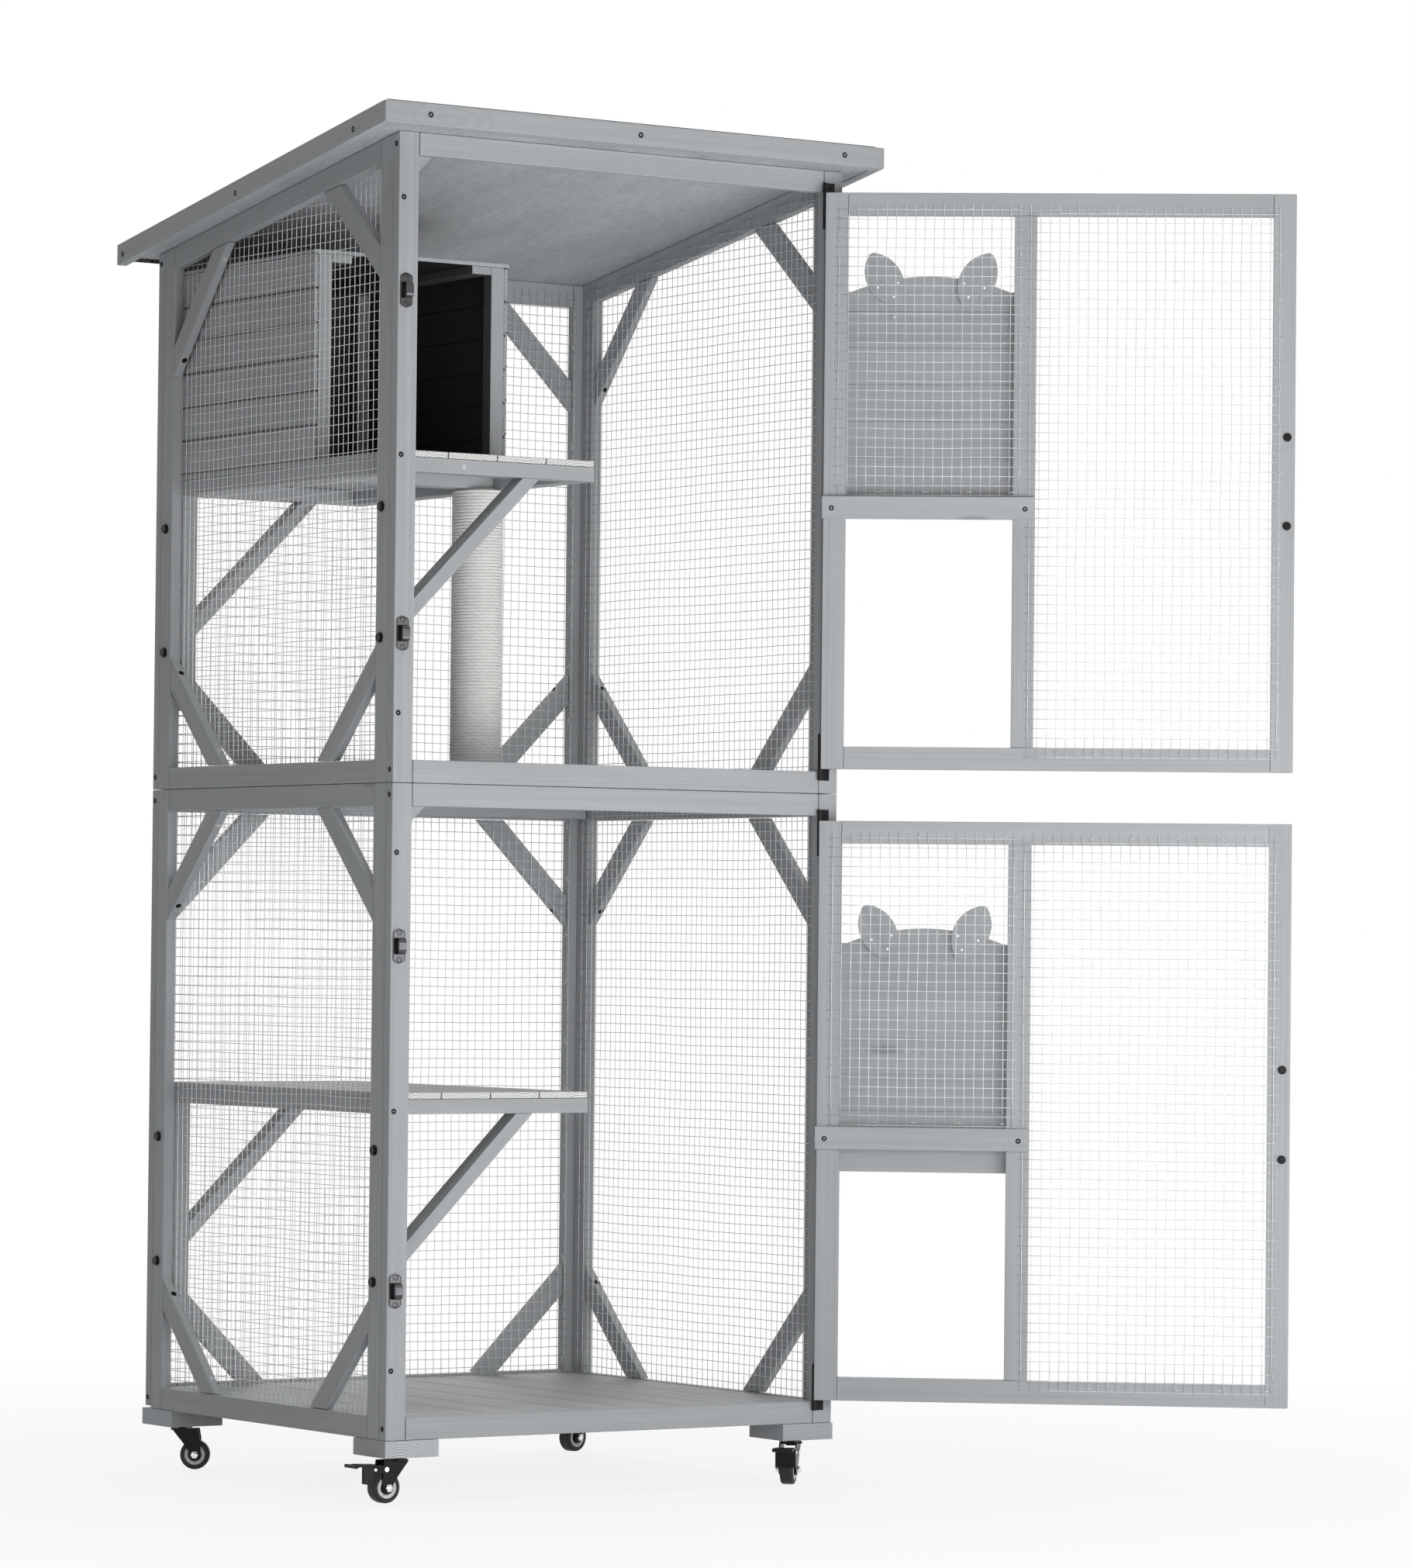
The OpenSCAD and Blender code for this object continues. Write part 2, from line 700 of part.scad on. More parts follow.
// Corner posts inside the house and the battens under its roof
module house_corner_posts() {
    z0 = upper_shelf_z;
    z1 = z0 + house_h - house_roof_t;
    t = house_wall_t;
    xa = house_x0 + t;
    xb = house_x1 - t;
    yb = house_y1 - t - butt_gap;
    batten_w = 30;
    low = z1 - 11;
    color(timber_c) {
        for (x = [xa, xb - house_post], y = [house_y, yb - house_post])
            bar([x, y, z0], [x + house_post, y + house_post, z1]);
        for (x = [xa + house_post + butt_gap, xb - house_post - batten_w - butt_gap])
            bar([x, house_y, low], [x + batten_w, yb, z1]);
    }
}

module house_roof_panel() {
    z1 = upper_shelf_z + house_h;
    lip = 1;
    color(board_c)
        bar([house_x0, house_y - lip, z1 - house_roof_t], [house_x1 + lip, house_y1, z1]);
}

// Outline of a layer that follows the fascia boards between two depths
module edge_layer(ya, yb, low, high) {
    polygon([[ya, edge_z(ya) + low], [yb, edge_z(yb) + low],
        [yb, edge_z(yb) + high], [ya, edge_z(ya) + high]]);
}

// Plywood sheet and the battens that stiffen it above
module roof_panel() {
    x0 = roof_x0 + fascia_t + butt_gap;
    x1 = roof_x1 - fascia_t - butt_gap;
    ya = roof_y0 + fascia_t + butt_gap;
    yb = roof_y1 - fascia_t - butt_gap;
    color(board_c) {
        yz(x0, x1 - x0)
            polygon([[ya, roof_z(ya) + roof_seat], [yb, roof_z(yb) + roof_seat],
                [yb, roof_z(yb) + ply_t], [ya, roof_z(ya) + ply_t]]);
        for (x = [x0, (x0 + x1 - rail_w) / 2, x1 - rail_w])
            yz(x, rail_w)
                polygon([[ya, roof_z(ya) + ply_t], [yb, roof_z(yb) + ply_t],
                    [yb, edge_z(yb) + fascia_top], [ya, edge_z(ya) + fascia_top]]);
    }
}

// Fascia boards round the roof's edge, mitred at the front corners
module roof_fascia() {
    low = -fascia_drop;
    t = fascia_t;
    g = butt_gap;
    color(timber_c) {
        fascia_board([[roof_x0 + g, roof_y0], [roof_x1 - g, roof_y0],
            [roof_x1 - t - g, roof_y0 + t], [roof_x0 + t + g, roof_y0 + t]], low);
        fascia_board([[roof_x0, roof_y0 + g], [roof_x0 + t, roof_y0 + t + g],
            [roof_x0 + t, roof_y1], [roof_x0, roof_y1]], low);
        fascia_board([[roof_x1, roof_y0 + g], [roof_x1 - t, roof_y0 + t + g],
            [roof_x1 - t, roof_y1], [roof_x1, roof_y1]], low);
        fascia_board([[roof_x0 + t + g, roof_y1 - t], [roof_x1 - t - g, roof_y1 - t],
            [roof_x1 - t - g, roof_y1], [roof_x0 + t + g, roof_y1]], low + back_fascia_lift);
    }
}

// Board with the given plan between the fascia's lower and upper slopes
module fascia_board(plan, low) {
    intersection() {
        yz(roof_x0, roof_x1 - roof_x0) edge_layer(roof_y0, roof_y1, low, fascia_top);
        translate([0, 0, section_h]) linear_extrude(2 * upper_h) polygon(plan);
    }
}

// Roofing felt over the top and down over the back fascia board
module roof_covering() {
    high = fascia_top;
    color(dark_c) {
        yz(roof_x0, roof_x1 - roof_x0) {
            edge_layer(roof_y0, roof_y1 + felt_t, high + roof_seat, high + felt_t);
            edge_layer(roof_y1, roof_y1 + felt_t, high - felt_flap, high + felt_t / 2);
        }
    }
}

// Blocks under the corners, with the bores of the caster stems
module caster_blocks() {
    color(timber_c) {
        for (i = [0 : 3])
            difference() {
                translate([block_lows[i][0], block_lows[i][1], -block_t])
                    cube([block_w, block_w, block_t]);
                translate([swivels[i][0], swivels[i][1], -block_t - eps])
                    cylinder(r = stem_r + bore_gap, h = stem_len + 1 + eps);
            }
    }
}

// Leaves, barrels and pins on the frame, two hinges to a door
module frame_hinge_leaves() {
    color(dark_c) {
        for (z0 = concat(hinge_feet(lower_door_h) + [lower_door_z, lower_door_z],
            hinge_feet(upper_door_h) + [upper_door_z, upper_door_z])) {
            third = hinge_h / 3;
            for (k = [0, 2]) {
                translate([pin_x, pin_y, z0 + k * third]) cylinder(r = barrel_r, h = third);
                bar([pin_x, -leaf_t, z0 + k * third],
                    [pin_x + leaf_w, 0, z0 + (k + 1) * third]);
                bar([pin_x, pin_y, z0 + k * third], [pin_x + leaf_t, 0, z0 + (k + 1) * third]);
            }
            bar([pin_x + leaf_clear, -leaf_t, z0], [pin_x + leaf_w, 0, z0 + hinge_h]);
            translate([pin_x, pin_y, z0]) cylinder(r = pin_r, h = hinge_h);
        }
    }
}

// Keeper plates with a raised bridge, on the left front post at each bolt
module latch_keepers() {
    color(dark_c) {
        for (z = [lower_door_z, upper_door_z], v = [bolt_low_v, bolt_top_v])
            translate([keeper_x, 0, z + v]) keeper();
    }
}

module keeper() {
    depth = rod_r + bridge_room - rod_y;
    half = bridge_half + bridge_wall;
    hole_z = keeper_h / 2 - 5;
    difference() {
        union() {
            xz(-keeper_t, keeper_t) {
                square([keeper_w, keeper_h - keeper_w], center = true);
                for (s = [-1, 1])
                    translate([0, s * (keeper_h - keeper_w) / 2]) circle(d = keeper_w);
            }
            bar([-bridge_w / 2, -depth - keeper_t, -half], [bridge_w / 2, 0, half]);
        }
        bar([-bridge_w, -depth, -bridge_half], [bridge_w, -keeper_t, bridge_half]);
        for (z = [-hole_z, hole_z])
            translate([0, eps, z]) rotate([90, 0, 0]) cylinder(r = screw_hole_r, h = keeper_w);
    }
}

// Sunk screw along +Z with its head's top at the origin
module screw() {
    head_r = 3.6;
    head_h = 2.4;
    shank_r = 1.8;
    shank_len = 27;
    translate([0, 0, -head_h]) cylinder(r = head_r, h = head_h);
    translate([0, 0, -1 - shank_len]) cylinder(r = shank_r, h = shank_len);
}

// Screws in the frame's outer faces
module frame_screws() {
    face_in = 7.4;
    low = 15;
    low_upper = 17;
    proud = 0.4;
    end_in = 89;
    heights = [end_in, section_h / 2, section_h - end_in];
    color(dark_c) {
        for (z0 = [0, section_h], z = heights, x = [face_in, body_w - face_in])
            translate([x, -proud, z0 + z]) rotate([90, 0, 0]) screw();
        for (y = [front_t / 2, body_d - wall_t / 2])
            for (z = [low, section_h - low, section_h + low_upper, top_z(true, y) - low]) {
                translate([-proud, y, z]) rotate([0, -90, 0]) screw();
                translate([body_w + proud, y, z]) rotate([0, 90, 0]) screw();
            }
    }
}

// Puts a caster's parts under its block, turned to the way it trails
module at_caster(i) {
    placed() translate([swivels[i][0], swivels[i][1], -ground_z]) rotate([0, 0, turns[i]])
        children();
}

// Fixed caps with their threaded stems and the rivets that the forks turn on
module caster_stems() {
    color(dark_c) {
        for (i = [0 : 3])
            translate([swivels[i][0], swivels[i][1], -ground_z]) {
                translate([0, 0, caster_h - cap_t]) cylinder(r = cap_r, h = cap_t);
                translate([0, 0, caster_h - eps]) cylinder(r = stem_r, h = stem_len + eps);
                translate([0, 0, rivet_z]) cylinder(r = rivet_r, h = caster_h - cap_t + eps - rivet_z);
                translate([0, 0, rivet_z]) cylinder(r = rivet_head_r, h = rivet_head_h);
            }
    }
}

// Fork with its axle; the braked one also has the cross pin of the brake
module fork(braked) {
    top = fork_top_z;
    low = top - flange_t;
    color(dark_c) {
        difference() {
            translate([0, 0, low]) cylinder(r = cap_r, h = flange_t);
            translate([0, 0, low - eps]) cylinder(r = rivet_r + bore_gap, h = flange_t + 2 * eps);
        }
        for (y = [-fork_in - fork_t, fork_in])
            difference() {
                xz(y, fork_t) fork_outline();
                translate([trail, y - eps, wheel_r]) rotate([-90, 0, 0])
                    cylinder(r = axle_r + bore_gap, h = fork_t + 2 * eps);
                if (braked)
                    translate([brake_pin_x, y - eps, brake_pin_z]) rotate([-90, 0, 0])
                        cylinder(r = brake_pin_r + bore_gap, h = fork_t + 2 * eps);
            }
        for (s = [-1, 1])
            bar([-11, min(s * fork_in, s * (fork_in + fork_t)), low - 1],
                [11, max(s * fork_in, s * (fork_in + fork_t)), low + 1]);
    }
    color(steel_c) {
        translate([trail, 0, wheel_r]) rotate([90, 0, 0])
            cylinder(r = axle_r, h = 2 * (fork_in + fork_t), center = true);
        for (s = [-1, 1])
            translate([trail, s * (fork_in + fork_t + 1.75), wheel_r]) rotate([90, 0, 0])
                cylinder(r = nut_r, h = 3.5, center = true, $fn = 6);
        if (braked) {
            translate([brake_pin_x, 0, brake_pin_z]) rotate([90, 0, 0])
                cylinder(r = brake_pin_r, h = 2 * (cheek_in + cheek_t) + 1, center = true);
            for (s = [-1, 1])
                translate([brake_pin_x, s * (cheek_in + cheek_t + 0.9), brake_pin_z])
                    rotate([90, 0, 0]) cylinder(r = 3.2, h = 1.2, center = true);
        }
    }
}

// Side plate of a fork, from its flange down to the axle
module fork_outline() {
    z = fork_top_z;
    polygon([[-12, z - 0.5], [23, z - 0.5], [25, z - 12], [26, wheel_r + 5], [trail, wheel_r],
        [11, wheel_r + 3], [3, wheel_r + 15], [-11, z - 3]]);
    translate([trail, wheel_r]) circle(r = 7.5);
}

// Wheel with a tread, a rim step on each side and a bore for the axle
module wheel() {
    half = wheel_w / 2;
    tread = 2;
    color(dark_c) translate([trail, 0, wheel_r]) rotate([90, 0, 0]) rotate_extrude()
        polygon([[axle_r + bore_gap, -half - 0.6], [6, -half - 0.6], [6, -half + 2],
            [13, -half + 2], [14, -half], [wheel_r - tread, -half], [wheel_r, -half + tread],
            [wheel_r, half - tread], [wheel_r - tread, half], [14, half], [13, half - 2],
            [6, half - 2], [6, half + 0.6], [axle_r + bore_gap, half + 0.6]]);
}

// Foot brake: cheeks on the cross pin, a pedal over the wheel and a shoe in front of it
module brake() {
    top = brake_pin_z + 4.5;
    shoe_x = brake_x;
    shoe_z = wheel_r + 4;
    half = cheek_in + cheek_t;
    color(dark_c) {
        for (y = [-half, cheek_in])
            difference() {
                xz(y, cheek_t) polygon([[brake_pin_x - 4, top - 8], [brake_pin_x - 4, top],
                    [shoe_x + 2, top], [shoe_x + 2, shoe_z], [shoe_x - 2, shoe_z],
                    [brake_pin_x + 6, top - 9]]);
                translate([brake_pin_x, y - eps, brake_pin_z]) rotate([-90, 0, 0])
                    cylinder(r = brake_pin_r + bore_gap, h = cheek_t + 2 * eps);
            }
        difference() {
            bar([shoe_x, -half, shoe_z], [shoe_x + 1.5, half, top]);
            for (y = [-4, 4])
                translate([shoe_x - eps, y, shoe_z + 4]) rotate([0, 90, 0])
                    cylinder(r = 1.5, h = 3);
        }
        xz(-half, 2 * half) polygon([[shoe_x - 11, top - 0.5], [shoe_x - 11, top + 1],
            [shoe_x + 14, top + 2], [brake_tip - 4, top + 1], [brake_tip - 4, top - 1],
            [shoe_x + 14, top]]);
        translate([brake_tip - 4, half, top]) rotate([90, 0, 0]) cylinder(r = 2.4, h = 2 * half);
    }
}

// Swings a shut door's parts about its hinge pin
module swung(upper) {
    placed() translate([pin_x, pin_y, upper ? upper_door_z : lower_door_z])
        rotate([0, 0, upper ? upper_door_angle : lower_door_angle])
            translate([-pin_x, -pin_y, 0]) children();
}

// Door timbers, with heights counted from the door's foot
module door_frame(h) {
    x0 = door_x1 - door_w;
    x1 = door_x1;
    xm = x1 - mid_stile_u;
    s = stile_w;
    g = butt_gap;
    color(timber_c) {
        bar([x0, door_y0, 0], [x0 + s, door_y1, h]);
        bar([x1 - s, door_y0, 0], [x1, door_y1, h]);
        bar([x0 + s + g, door_y0, 0], [x1 - s - g, door_y1, s]);
        bar([x0 + s + g, door_y0, h - s], [x1 - s - g, door_y1, h]);
        bar([xm - s, door_y0, s + g], [xm, door_y1, h - s - g]);
        bar([xm - s, door_y1, batten_v], [x1 + batten_past, door_y1 + batten_t, batten_v + s]);
    }
}

// The two mesh panels on a door's inner face, the free one notched round the batten
module door_mesh(h) {
    x1 = door_x1 - door_mesh_edge;
    top = h - door_mesh_top;
    foot = batten_v + stile_w + door_mesh_lift;
    free_x1 = left_mesh_x0 - door_mesh_seam;
    g = slide_gap;
    color(wire_c) {
        xz(door_y1, wire_t) uprights(left_mesh_x0, x1, foot, top, top);
        xz(door_y1 + mesh_t - wire_t, wire_t) crosswires(left_mesh_x0, x1, foot, top, top);
        difference() {
            union() {
                xz(door_y1, wire_t) uprights(free_mesh_x0, free_x1, door_mesh_foot, top, top);
                xz(door_y1 + mesh_t - wire_t, wire_t)
                    crosswires(free_mesh_x0, free_x1, door_mesh_foot, top, top);
            }
            xz(door_y1 - g, mesh_t + 2 * g)
                translate([door_x1 - mid_stile_u - stile_w - g, batten_v - g])
                    square(stile_w + 2 * g);
        }
    }
}

// Rebated strips that hold a hatch on the door's outer face, and its foot stop
module hatch_guides(h) {
    y1 = door_y0;
    y0 = y1 - guide_t;
    lip = guide_lip_t;
    xa = hatch_x0 - slide_gap;
    xb = hatch_x1 + slide_gap;
    color(timber_c) {
        translate([0, 0, guide_foot_v]) linear_extrude(h - guide_top_in - guide_foot_v) {
            polygon([[xa - guide_base, y0], [xa + guide_lip, y0], [xa + guide_lip, y0 + lip],
                [xa, y0 + lip], [xa, y1], [xa - guide_base, y1]]);
            polygon([[xb + guide_base, y0], [xb - guide_lip, y0], [xb - guide_lip, y0 + lip],
                [xb, y0 + lip], [xb, y1], [xb + guide_base, y1]]);
        }
        bar([xa + guide_lip + butt_gap, y0, guide_foot_v],
            [xb - guide_lip - butt_gap, y1, hatch_stop_v]);
    }
}

// Door leaves of the two hinges and the bodies of the two barrel bolts
module door_hardware(h) {
    third = hinge_h / 3;
    web_lap = 1;
    pin_clear = 0.4;
    end_in = 1;
    color(dark_c) {
        for (z0 = hinge_feet(h)) {
            difference() {
                union() {
                    translate([pin_x, pin_y, z0 + third + knuckle_gap])
                        cylinder(r = barrel_r, h = third - 2 * knuckle_gap);
                    bar([pin_x - leaf_clear - web_lap, door_y0 - leaf_t, z0 + third + knuckle_gap],
                        [pin_x - pin_r - pin_clear, door_y0, z0 + 2 * third - knuckle_gap]);
                }
                translate([pin_x, pin_y, z0 + third]) cylinder(r = pin_r + bore_gap, h = third);
            }
            bar([pin_x - door_leaf_w, door_y0 - leaf_t, max(z0, end_in)],
                [pin_x - leaf_clear, door_y0, min(z0 + hinge_h, h - end_in)]);
        }
        for (v = [bolt_low_v, bolt_top_v]) translate([bolt_x, door_y0, v]) bolt_body();
    }
}

// Plate of a bolt with the two bored loops that carry its rod
module bolt_body() {
    y_rod = rod_y - door_y0;
    out = rod_r + loop_wall;
    hole_x = 9;
    hole_z = 14;
    difference() {
        union() {
            bar([-bolt_w / 2, -bolt_plate_t, -bolt_h / 2], [bolt_w / 2, 0, bolt_h / 2]);
            for (x = [-bolt_w / 2, -bolt_w / 2 + loop_step])
                bar([x, y_rod - out, -out], [x + loop_w, 0, out]);
        }
        translate([-bolt_w, y_rod, 0]) rotate([0, 90, 0])
            cylinder(r = rod_r + bore_gap, h = 2 * bolt_w);
        for (x = [-hole_x, hole_x], z = [-hole_z, hole_z])
            translate([x, eps, z]) rotate([90, 0, 0])
                cylinder(r = screw_hole_r, h = bolt_plate_t + 2 * eps);
    }
}

// Rod of a bolt with its knob, drawn back
module bolt_rod(v) {
    color(dark_c) {
        translate([rod_x, rod_y, v]) rotate([0, 90, 0]) cylinder(r = rod_r, h = rod_len);
        translate([knob_x, rod_y - knob_len, v]) rotate([-90, 0, 0])
            cylinder(r = knob_r, h = knob_len);
    }
}

// Bow handle on the free stile, with its nuts on the inner face
module door_handle() {
    x = door_x1 - door_w + handle_in;
    out = 26;
    r = 4.5;
    flange_r = 8;
    flange_h = 2;
    color(dark_c) {
        for (v = [handle_v - handle_span / 2, handle_v + handle_span / 2])
            translate([x, 0, v]) rotate([90, 0, 0]) {
                translate([0, 0, -door_y0]) cylinder(r = r, h = out);
                translate([0, 0, -door_y0]) cylinder(r = flange_r, h = flange_h);
                translate([0, 0, -door_y1 - handle_nut_h]) cylinder(r = r, h = handle_nut_h);
            }
        translate([x, door_y0 - out, handle_v - handle_span / 2 - r])
            cylinder(r = r, h = handle_span + 2 * r);
    }
}

// Hatch panel with an arched top and two leaf-shaped ears, heights from its foot
module hatch(v0) {
    w = hatch_x1 - hatch_x0;
    y1 = door_y0 - slide_gap;
    mid = (hatch_x0 + hatch_x1) / 2;
    shoulder = 5;
    arch_w = mid_stile_u - stile_w - 2 * shoulder;
    arch_r = (arch_w * arch_w / 4 + hatch_arch * hatch_arch) / (2 * hatch_arch);
    color(timber_c) translate([0, 0, v0]) {
        xz(y1 - hatch_t, hatch_t) {
            translate([hatch_x0, 0]) square([w, hatch_h]);
            intersection() {
                translate([mid, hatch_h + hatch_arch - arch_r]) circle(r = arch_r, $fn = 180);
                translate([mid - arch_w / 2, hatch_h - eps]) square([arch_w, hatch_arch + 1]);
            }
        }
        for (s = [-1, 1])
            xz(y1, ear_t) translate([mid, 0]) mirror([s < 0 ? 1 : 0, 0]) ear_outline();
    }
}

// Leaf outline between two arcs, for the ear at the panel's right
module ear_outline() {
    foot_v = ear_tip - 72;
    chord = 82;
    r = 47;
    turn = 62;
    translate([62, (ear_tip + foot_v) / 2]) rotate(turn) intersection() {
        translate([0, sqrt(r * r - chord * chord / 4)]) circle(r = r);
        translate([0, -sqrt(r * r - chord * chord / 4)]) circle(r = r);
    }
}

placed() front_frame(false);  // lower_front_frame
placed() side_wall(false, false);  // lower_left_wall_frame
placed() side_wall(false, true);  // lower_right_wall_frame
placed() back_wall(false);  // lower_back_wall_frame
placed() wall_mesh(false);  // lower_wall_mesh
placed() front_frame(true);  // upper_front_frame
placed() side_wall(true, false);  // upper_left_wall_frame
placed() side_wall(true, true);  // upper_right_wall_frame
placed() back_wall(true);  // upper_back_wall_frame
placed() wall_mesh(true);  // upper_wall_mesh
placed() door_stop_gussets();
placed() floor_boards();
placed() floor_battens();
placed() mid_platform_boards();
placed() mid_platform_battens();
placed() shelf_boards(lower_shelf_z);  // lower_shelf_boards
placed() shelf_frame(lower_shelf_z, false);  // lower_shelf_frame
placed() shelf_boards(upper_shelf_z);  // upper_shelf_boards
placed() shelf_frame(upper_shelf_z, true);  // upper_shelf_frame
placed() shelf_bolts();
placed() scratching_post_core();
placed() scratching_post_rope();
placed() house_walls();
placed() house_corner_posts();
placed() house_roof_panel();
placed() roof_panel();
placed() roof_fascia();
placed() roof_covering();
placed() caster_blocks();
placed() frame_hinge_leaves();
placed() latch_keepers();
placed() frame_screws();
placed() caster_stems();
at_caster(0) fork(true);  // front_left_fork
at_caster(1) fork(true);  // front_right_fork
at_caster(2) fork(false);  // rear_left_fork
at_caster(3) fork(false);  // rear_right_fork
at_caster(0) wheel();  // front_left_wheel
at_caster(1) wheel();  // front_right_wheel
at_caster(2) wheel();  // rear_left_wheel
at_caster(3) wheel();  // rear_right_wheel
at_caster(0) brake();  // front_left_brake
at_caster(1) brake();  // front_right_brake
swung(true) door_frame(upper_door_h);  // upper_door_frame
swung(true) door_mesh(upper_door_h);  // upper_door_mesh
swung(true) hatch_guides(upper_door_h);  // upper_hatch_guides
swung(true) door_hardware(upper_door_h);  // upper_door_hardware
swung(true) door_handle();  // upper_door_handle
swung(true) hatch(upper_hatch_v);  // upper_hatch
swung(true) bolt_rod(bolt_top_v);  // upper_door_top_bolt
swung(true) bolt_rod(bolt_low_v);  // upper_door_low_bolt
swung(false) door_frame(lower_door_h);  // lower_door_frame
swung(false) door_mesh(lower_door_h);  // lower_door_mesh
swung(false) hatch_guides(lower_door_h);  // lower_hatch_guides
swung(false) door_hardware(lower_door_h);  // lower_door_hardware
swung(false) door_handle();  // lower_door_handle
swung(false) hatch(lower_hatch_v);  // lower_hatch
swung(false) bolt_rod(bolt_top_v);  // lower_door_top_bolt
swung(false) bolt_rod(bolt_low_v);  // lower_door_low_bolt
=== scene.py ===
import json
import math
import random

import bmesh
import bpy
from mathutils import Euler, Matrix, Vector, noise

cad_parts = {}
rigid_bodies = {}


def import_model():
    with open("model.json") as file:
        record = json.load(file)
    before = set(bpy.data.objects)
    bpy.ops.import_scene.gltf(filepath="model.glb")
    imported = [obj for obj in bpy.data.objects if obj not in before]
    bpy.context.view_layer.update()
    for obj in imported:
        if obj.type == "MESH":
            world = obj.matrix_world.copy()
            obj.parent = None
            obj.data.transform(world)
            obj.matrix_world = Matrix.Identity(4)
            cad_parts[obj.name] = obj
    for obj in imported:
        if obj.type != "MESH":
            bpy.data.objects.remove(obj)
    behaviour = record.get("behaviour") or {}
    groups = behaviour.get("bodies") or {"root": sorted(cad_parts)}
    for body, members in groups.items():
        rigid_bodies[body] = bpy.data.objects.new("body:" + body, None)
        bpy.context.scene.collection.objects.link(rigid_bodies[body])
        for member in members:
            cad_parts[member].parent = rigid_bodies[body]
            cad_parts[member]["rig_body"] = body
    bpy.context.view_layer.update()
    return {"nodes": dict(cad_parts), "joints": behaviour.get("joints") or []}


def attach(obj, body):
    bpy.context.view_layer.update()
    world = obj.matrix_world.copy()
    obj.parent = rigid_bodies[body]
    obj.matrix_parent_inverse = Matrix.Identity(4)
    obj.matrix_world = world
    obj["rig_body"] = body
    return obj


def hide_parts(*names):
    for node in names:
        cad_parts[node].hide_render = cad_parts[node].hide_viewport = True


random.seed(11)
# Unseeded, noise_vector bends the wires differently on each run
noise.seed_set(11)
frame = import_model()
scene = bpy.context.scene
joints = {j["name"]: j for j in frame["joints"]}

MM = 0.001

# Sizes that the pieces share with the construction, in millimetres
BODY_W, BODY_D = 692, 636
SECTION_H, UPPER_H, ROOF_DROP = 838, 834, 104
FRONT_T, WALL_T, RAIL = 17, 15, 30
MESH_INSET, MESH_PITCH = 11, 12.7
GROUND_Z = 82
DOOR_X0, DOOR_X1, DOOR_H = 33, 659, 769
DOOR_Y0, DOOR_Y1 = -0.5, 16.5
DOOR_FOOT = {"upper": 870.5, "lower": 32.5}
HATCH_FOOT = {"upper": 335, "lower": 303}
MID_STILE_U = 252
BATTEN_V = 333
PLATFORM_Z, UPPER_SHELF_Z, SHELF_T = 838, 1266, 28

frame_place = Matrix.Translation(MM * Vector((-BODY_W / 2, -BODY_D / 2, GROUND_Z))) @ Matrix.Scale(MM, 4)


def door_place(which):
    """Matrix from a shut door's frame millimetres, with heights from its foot, to the part at rest."""
    hinge = joints[which + "_door_hinge"]
    pin = Vector(hinge["pos_m"])
    pin.z = 0
    turn = Matrix.Rotation(math.radians(-hinge["range_deg"][0]), 4, "Z")
    foot = Matrix.Translation((0, 0, DOOR_FOOT[which]))
    return Matrix.Translation(pin) @ turn @ Matrix.Translation(-pin) @ frame_place @ foot


def roof_z(y):
    return SECTION_H + UPPER_H - ROOF_DROP * y / BODY_D


def top_z(upper, y):
    return roof_z(y) if upper else SECTION_H


# Materials
def new_material(name):
    mat = bpy.data.materials.new(name)
    mat.use_nodes = True
    tree = mat.node_tree
    return mat, tree, tree.nodes["Principled BSDF"]


def set_finish(shader, roughness, gloss=0.2):
    shader.inputs["Roughness"].default_value = roughness
    shader.inputs["Specular IOR Level"].default_value = gloss


def object_place(tree):
    return tree.nodes.new("ShaderNodeTexCoord").outputs["Object"]


def add(tree, kind, **sockets):
    """A node with its inputs set by name."""
    made = tree.nodes.new(kind)
    for key, value in sockets.items():
        made.inputs[key.replace("_", " ")].default_value = value
    return made


def math_node(tree, operation, a, b=None, c=None):
    made = tree.nodes.new("ShaderNodeMath")
    made.operation = operation
    for i, v in enumerate((a, b, c)):
        if v is None:
            continue
        if isinstance(v, (int, float)):
            made.inputs[i].default_value = v
        else:
            tree.links.new(v, made.inputs[i])
    return made.outputs[0]


def mix_colour(tree, factor, a, b):
    made = tree.nodes.new("ShaderNodeMix")
    made.data_type = "RGBA"
    for socket, v in ((made.inputs[0], factor), (made.inputs[6], a), (made.inputs[7], b)):
        if isinstance(v, (int, float, tuple)):
            socket.default_value = v
        else:
            tree.links.new(v, socket)
    return made.outputs[2]


def grey(v):
    """Linear colour of a slightly blue grey."""
    return (v * 0.955, v * 0.985, v * 1.01, 1)


def scaled(tree, vector, scale):
    made = tree.nodes.new("ShaderNodeVectorMath")
    made.operation = "MULTIPLY"
    tree.links.new(vector, made.inputs[0])
    made.inputs[1].default_value = scale
    return made.outputs[0]


def noise_value(tree, vector, scale, detail=4, rough=0.55):
    made = add(tree, "ShaderNodeTexNoise", Scale=scale, Detail=detail, Roughness=rough)
    tree.links.new(vector, made.inputs["Vector"])
    return made.outputs[0]


def ranged(tree, value, low, high, to_low=0, to_high=1):
    made = tree.nodes.new("ShaderNodeMapRange")
    for key, v in zip(("From Min", "From Max", "To Min", "To Max"), (low, high, to_low, to_high)):
        made.inputs[key].default_value = v
    tree.links.new(value, made.inputs["Value"])
    return made.outputs[0]


def bumped(tree, shader, height, strength, distance):
    made = add(tree, "ShaderNodeBump", Strength=strength, Distance=distance)
    tree.links.new(height, made.inputs["Height"])
    tree.links.new(made.outputs[0], shader.inputs["Normal"])


